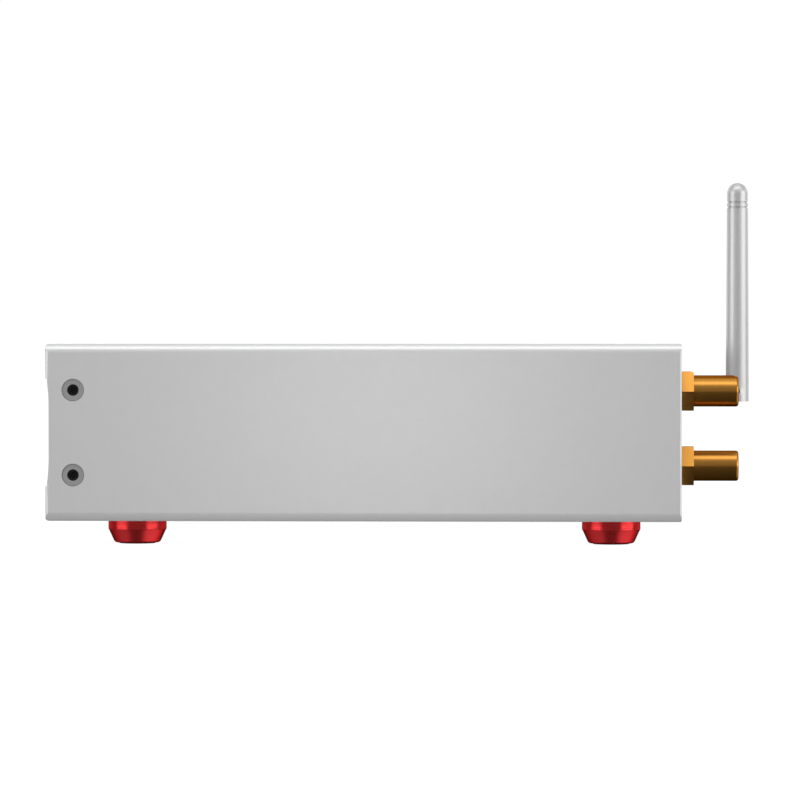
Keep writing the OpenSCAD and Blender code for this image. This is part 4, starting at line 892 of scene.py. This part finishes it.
@dataclass
class DigitalSockets(SubAssembly):
    """The USB and optical inputs."""

    contact_aside: float = 1.25
    contact_half: float = 0.6
    contact_proud: float = 0.12
    contact_back: float = 1.5
    contact_front: float = 0.6
    contact_round: float = 0.04

    def build(self) -> None:
        """Dress the sockets and add the USB contacts."""
        self.dress("steel", "usb_shell")
        self.dress("white", "usb_tongue")
        self.dress("black", "optical_housing", "optical_flap")
        self.contacts()

    def contacts(self) -> None:
        """Lay two gold strips on each side of the tongue."""
        lo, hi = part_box("usb_tongue")
        shape = Shape()
        middle = (lo.x + hi.x) / 2
        for side in (-1, 1):
            x = middle + side * self.contact_aside * MM
            half, y0, y1 = self.contact_half * MM, lo.y + self.contact_back * MM, hi.y - self.contact_front * MM
            for z0, z1 in ((hi.z, hi.z + self.contact_proud * MM), (lo.z - self.contact_proud * MM, lo.z)):
                shape.box((x - half, y0, z0), (x + half, y1, z1), self.contact_round * MM)
        self.add(shape, "usb_contacts", "gold_plain")


@dataclass
class MainsEntry(SubAssembly):
    """Mains inlet with its fuse drawer, and the rocker switch."""

    def build(self) -> None:
        """Dress the mouldings and the blades."""
        self.dress("black", "mains_inlet", "fuse_drawer", "switch_housing")
        self.dress("rocker", "switch_rocker")
        self.dress("steel", "mains_pins")
        self.dress("ceramic", "fuse")


@dataclass
class Transformer(SubAssembly):
    """The toroidal transformer under its clamping plate."""

    turns: int = 56
    steps: int = 4
    lift: float = 0.35
    bore: float = 9.5
    rounding: float = 6
    corner_points: int = 7
    nudge: float = 1e-4

    def build(self) -> None:
        """Dress the clamp and pads, and wind the tape."""
        self.dress("steel", "transformer_clamp")
        self.dress("pad", "transformer_pads")
        self.dress("tape", "transformer")
        self.wind()

    def wind(self) -> None:
        """Wind overlapping turns of tape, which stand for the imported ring."""
        lo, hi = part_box("transformer")
        middle = (lo + hi) / 2
        outer, inner, half = (hi.x - lo.x) / 2, self.bore * MM, (hi.z - lo.z) / 2
        radius = self.rounding * MM
        outline = []
        for k, (x, z) in enumerate(((outer, half), (inner, half), (inner, -half), (outer, -half))):
            cx = x - radius if x == outer else x + radius
            cz = math.copysign(half - radius, z)
            for j in range(self.corner_points):
                angle = math.radians(90 * k + 90 / (self.corner_points - 1) * j)
                outline.append((cx + radius * math.cos(angle), cz + radius * math.sin(angle)))
        shape = Shape()
        shape.lathe(outline, middle, "Z", steps=self.turns * self.steps)
        core = (outer + inner) / 2
        for vert in shape.mesh.verts:
            out = Vector((vert.co.x - middle.x, vert.co.y - middle.y, 0))
            turn = (math.atan2(out.y, out.x) / (2 * math.pi) * self.turns + self.nudge) % 1.0
            heart = middle + out.normalized() * core
            away = vert.co - heart
            vert.co = heart + away * (1 - self.lift * MM * turn / away.length)
        piece = self.add(shape, "transformer_winding", "tape", smooth=12.0)
        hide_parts("transformer")


@dataclass
class MainBoard(SubAssembly):
    """The main board with all that stands on it."""

    cans: int = 4
    rim_in: float = 1.1
    top_edge: tuple[float, float, float] = (0.05, 0.3, 0.12)
    vent: tuple[float, float] = (0.25, 4.5)
    vent_levels: tuple[float, float] = (0.1, 0.17)
    rows: tuple[tuple[int, int, int, int], ...] = ((30, -52, 7, 9), (58, 2, 2, 9), (-10, 14, 3, 4))
    pitch: tuple[float, float] = (4.6, 4.4)
    stagger: float = 0.6
    part_long: float = 1.6
    part_wide: float = 0.8
    part_low: float = 0.45
    part_step: float = 0.25
    end_half: float = 0.2
    end_proud: float = 0.03

    def build(self) -> None:
        """Dress the board and its components, and add the small parts."""
        self.dress("board", "main_board")
        self.dress("gold_plain", "board_pillars")
        self.dress("screw", "board_screws")
        self.dress("can", "reservoir_capacitors")
        self.dress("sink", "heat_sink")
        self.dress("part", "board_components")
        self.can_tops()
        self.small_parts()

    def can_tops(self) -> None:
        """Add the bare top of each capacitor, crossed by its vent."""
        lo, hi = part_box("reservoir_capacitors")
        radius = (hi.x - lo.x) / 2
        pitch = (hi.y - lo.y - 2 * radius) / (self.cans - 1)
        heart, rim = 0.0001 * MM, radius - self.rim_in * MM
        side, slope, tall = (size * MM for size in self.top_edge)
        thin, long = (size * MM for size in self.vent)
        under, over = (size * MM for size in self.vent_levels)
        shape = Shape()
        for k in range(self.cans):
            at = Vector(((lo.x + hi.x) / 2, lo.y + radius + k * pitch, hi.z))
            shape.lathe([(heart, 0), (rim, 0), (rim, side), (rim - slope, tall), (heart, tall)], at, "Z", steps=48)
            for x, y in ((thin, long), (long, thin)):
                shape.box(at + Vector((-x, -y, under)), at + Vector((x, y, over)))
        self.add(shape, "capacitor_tops", "can_top")

    def small_parts(self) -> None:
        """Scatter chip resistors and capacitors in rows between the larger parts."""
        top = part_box("main_board")[1].z
        bodies, ends = Shape(), Shape()
        for x0, y0, across, deep in self.rows:
            for i in range(across):
                for j in range(deep):
                    if (3 * i + 5 * j) % 7:
                        x, y = x0 + self.pitch[0] * i + self.stagger * (j % 2), y0 + self.pitch[1] * j
                        tall = self.part_low + self.part_step * ((i * j) % 3)
                        self.small_part(bodies, ends, Vector((x * MM, y * MM, top)), bool((i + j) % 3), tall)
        self.add(bodies, "small_part_bodies", "part")
        self.add(ends, "small_part_ends", "can_top")

    def small_part(self, bodies: Shape, ends: Shape, at: Vector, lies_along_x: bool, tall: float) -> None:
        """Add one chip part and its two metal ends.

        Args:
            bodies: The mesh of the parts' bodies.
            ends: The mesh of their ends.
            at: The middle of the part's foot.
            lies_along_x: Whether its length runs along X.
            tall: Its height in millimetres.
        """
        wide, long = (self.part_long, self.part_wide) if lies_along_x else (self.part_wide, self.part_long)
        half = Vector((wide / 2 * MM, long / 2 * MM, 0))
        bodies.box(at - half, at + half + Vector((0, 0, tall * MM)))
        step = Vector((wide / 2 * MM, 0, 0)) if lies_along_x else Vector((0, long / 2 * MM, 0))
        end = self.end_half * MM
        cap = Vector((end, half.y, 0)) if lies_along_x else Vector((half.x, end, 0))
        for sign in (-1, 1):
            spot = at + step * sign
            ends.box(spot - cap, spot + cap + Vector((0, 0, (tall + self.end_proud) * MM)))


@dataclass
class Leads(SubAssembly):
    """The wiring inside the case."""

    def build(self) -> None:
        """Dress the leads and the flat cable."""
        self.dress("brown", "mains_leads")
        self.dress("ivory", "signal_leads", "display_ribbon")


@dataclass(frozen=True)
class Softbox:
    """One area light that faces the converter. Its glow is the brightness that reflections show."""

    name: str
    at: Point
    wide: float
    tall: float
    glow: float
    seen: bool = True

    def place(self, aim: Vector) -> None:
        """Hang the light and turn it towards a point.

        Args:
            aim: The point that it faces.
        """
        lamp = bpy.data.lights.new(self.name, "AREA")
        lamp.shape, lamp.size, lamp.size_y = "RECTANGLE", self.wide, self.tall
        lamp.energy = self.glow * math.pi * self.wide * self.tall
        thing = bpy.data.objects.new(self.name, lamp)
        thing.location = self.at
        thing.rotation_mode = "QUATERNION"
        thing.rotation_quaternion = (aim - Vector(self.at)).to_track_quat("-Z", "Y")
        thing.visible_camera = False
        thing.visible_glossy = self.seen
        bpy.context.scene.collection.objects.link(thing)


@dataclass
class Studio:
    """Camera, light and the pale floor.

    Each pair from below to over_foot is the gain and the offset of one mask over the directions of the air.
    """

    camera_at: Point = (1.305, 0.05919, 0.0547)
    looks_at: Point = (0.105, -0.000575, 0.03956)
    lens: float = 200.7
    sensor: float = 36.0
    sees: tuple[float, float] = (0.05, 60.0)
    boxes: tuple[Softbox, ...] = (
        Softbox("overhead", (0.775, 0.0, 1.545), 2.6, 0.68, 1.36),
        Softbox("overhead_soft", (0.2, 0.0, 1.3), 1.6, 1.2, 1.2, seen=False),
        Softbox("rear_side", (0.64, 1.5, 0.28), 1.65, 0.9, 1.75),
        Softbox("front_side", (0.85, -1.35, 0.28), 1.25, 0.9, 1.5),
        Softbox("near_fill", (0.26, -0.01, 0.037), 0.08, 0.06, 5.3, seen=False),
    )
    aim: Point = (0, 0, 0.04)
    sky: tuple[tuple[float, float], ...] = ((0.0, 0.035), (0.44, 0.07), (0.53, 0.24), (0.9, 0.38), (1.0, 0.8))
    below: tuple[float, float] = (-4.0, -0.8)
    aside: tuple[float, float] = (3.5, -1.0)
    uneven: tuple[float, float] = (0.25, 0.45)
    behind: tuple[float, float] = (-2.2, -0.45)
    under_top: tuple[float, float] = (-4.0, 2.6)
    over_foot: tuple[float, float] = (8.0, 1.3)
    backdrop: float = 0.85
    backdrop_seen: float = 1.02
    floor_colour: float = 0.12
    floor_glow: float = 0.74
    floor_shown: tuple[float, float] = (0.955, 1.03)
    floor_fade: tuple[float, float] = (1.6, -0.5)
    floor_size: float = 8.0

    def build(self) -> None:
        """Set the camera, the light and the floor."""
        self.camera()
        self.air()
        self.floor()
        for box in self.boxes:
            box.place(Vector(self.aim))
        bpy.context.scene.view_settings.view_transform = "Standard"

    def camera(self) -> None:
        """Place the camera square to the converter's side, as in the photograph."""
        data = bpy.data.cameras.new("camera")
        data.lens, data.sensor_width = self.lens, self.sensor
        data.clip_start, data.clip_end = self.sees
        thing = bpy.data.objects.new("camera", data)
        thing.location = self.camera_at
        thing.rotation_mode = "QUATERNION"
        thing.rotation_quaternion = (Vector(self.looks_at) - Vector(self.camera_at)).to_track_quat("-Z", "Y")
        bpy.context.scene.collection.objects.link(thing)
        bpy.context.scene.camera = thing

    def air(self) -> None:
        """Make the surrounding light: white behind the converter, grey above and dark below it."""
        world = bpy.data.worlds.new("studio_air")
        bpy.context.scene.world = world
        world.use_nodes = True
        world.node_tree.nodes.clear()
        graph = Graph(world.node_tree)
        way = graph.add("ShaderNodeTexCoord").outputs["Generated"]
        along, across, up = graph.add("ShaderNodeSeparateXYZ", {0: way}).outputs
        level = graph.maths("MULTIPLY_ADD", up, 0.5, 0.5)
        ramp = graph.add("ShaderNodeValToRGB", {0: level})
        while len(ramp.color_ramp.elements) < len(self.sky):
            ramp.color_ramp.elements.new(0.5)
        for element, (at, value) in zip(ramp.color_ramp.elements, self.sky):
            element.position, element.color = at, (value, value, value, 1.0)
        below = graph.maths("MULTIPLY_ADD", up, *self.below, clamp=True)
        sides = graph.maths("MULTIPLY_ADD", graph.maths("ABSOLUTE", across), *self.aside, clamp=True)
        uneven = graph.maths("MULTIPLY_ADD", across, *self.uneven)
        bounce = graph.maths("MULTIPLY", graph.maths("MULTIPLY", below, sides), uneven)
        behind = graph.maths("MULTIPLY_ADD", along, *self.behind, clamp=True)
        low = graph.maths("MULTIPLY", graph.maths("MULTIPLY_ADD", up, *self.under_top, clamp=True),
                          graph.maths("MULTIPLY_ADD", up, *self.over_foot, clamp=True))
        backdrop = graph.maths("MULTIPLY", graph.maths("MULTIPLY", behind, low), self.backdrop)
        total = graph.maths("ADD", graph.maths("ADD", bounce, backdrop), ramp.outputs[0])
        light = graph.add("ShaderNodeBackground", {0: total, 1: 1.0})
        back = graph.add("ShaderNodeBackground", {0: (1.0, 1.0, 1.0, 1.0), 1: self.backdrop_seen})
        ray = graph.add("ShaderNodeLightPath").outputs["Is Camera Ray"]
        mix = graph.add("ShaderNodeMixShader", {0: ray, 1: light.outputs[0], 2: back.outputs[0]})
        graph.add("ShaderNodeOutputWorld", {0: mix.outputs[0]})

    def floor(self) -> None:
        """Lay the pale floor."""
        material = bpy.data.materials.new("floor_pale")
        material.use_nodes = True
        node = material.node_tree.nodes["Principled BSDF"]
        node.inputs["Base Color"].default_value = (*[self.floor_colour] * 3, 1.0)
        node.inputs["Roughness"].default_value = 1.0
        node.inputs["Specular IOR Level"].default_value = 0.0
        node.inputs["Emission Strength"].default_value = 1.0
        graph = Graph(material.node_tree)
        away = graph.vector("LENGTH", graph.add("ShaderNodeTexCoord").outputs["Object"])
        fade = graph.maths("MULTIPLY_ADD", away, *self.floor_fade, clamp=True)
        near, far = ([level] * 3 for level in self.floor_shown)
        shown = graph.blend(fade, near, far)
        ray = graph.add("ShaderNodeLightPath").outputs["Is Camera Ray"]
        graph.feed(node.inputs["Emission Color"], graph.blend(ray, [self.floor_glow] * 3, shown))
        sheet = bmesh.new()
        bmesh.ops.create_grid(sheet, x_segments=1, y_segments=1, size=self.floor_size)
        data = bpy.data.meshes.new("floor")
        sheet.to_mesh(data)
        sheet.free()
        data.materials.append(material)
        thing = bpy.data.objects.new("floor", data)
        thing.visible_glossy = False
        bpy.context.scene.collection.objects.link(thing)


def main() -> None:
    """Build the studio, then the sub-assemblies in order, and log what each holds."""
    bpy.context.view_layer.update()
    Studio().build()
    for kind in (Housing, FrontControls, PhonoSockets, Antenna, DigitalSockets, MainsEntry, Transformer, MainBoard,
                 Leads):
        part = kind()
        part.build()
        part.report()


if __name__ == "__main__":
    main()
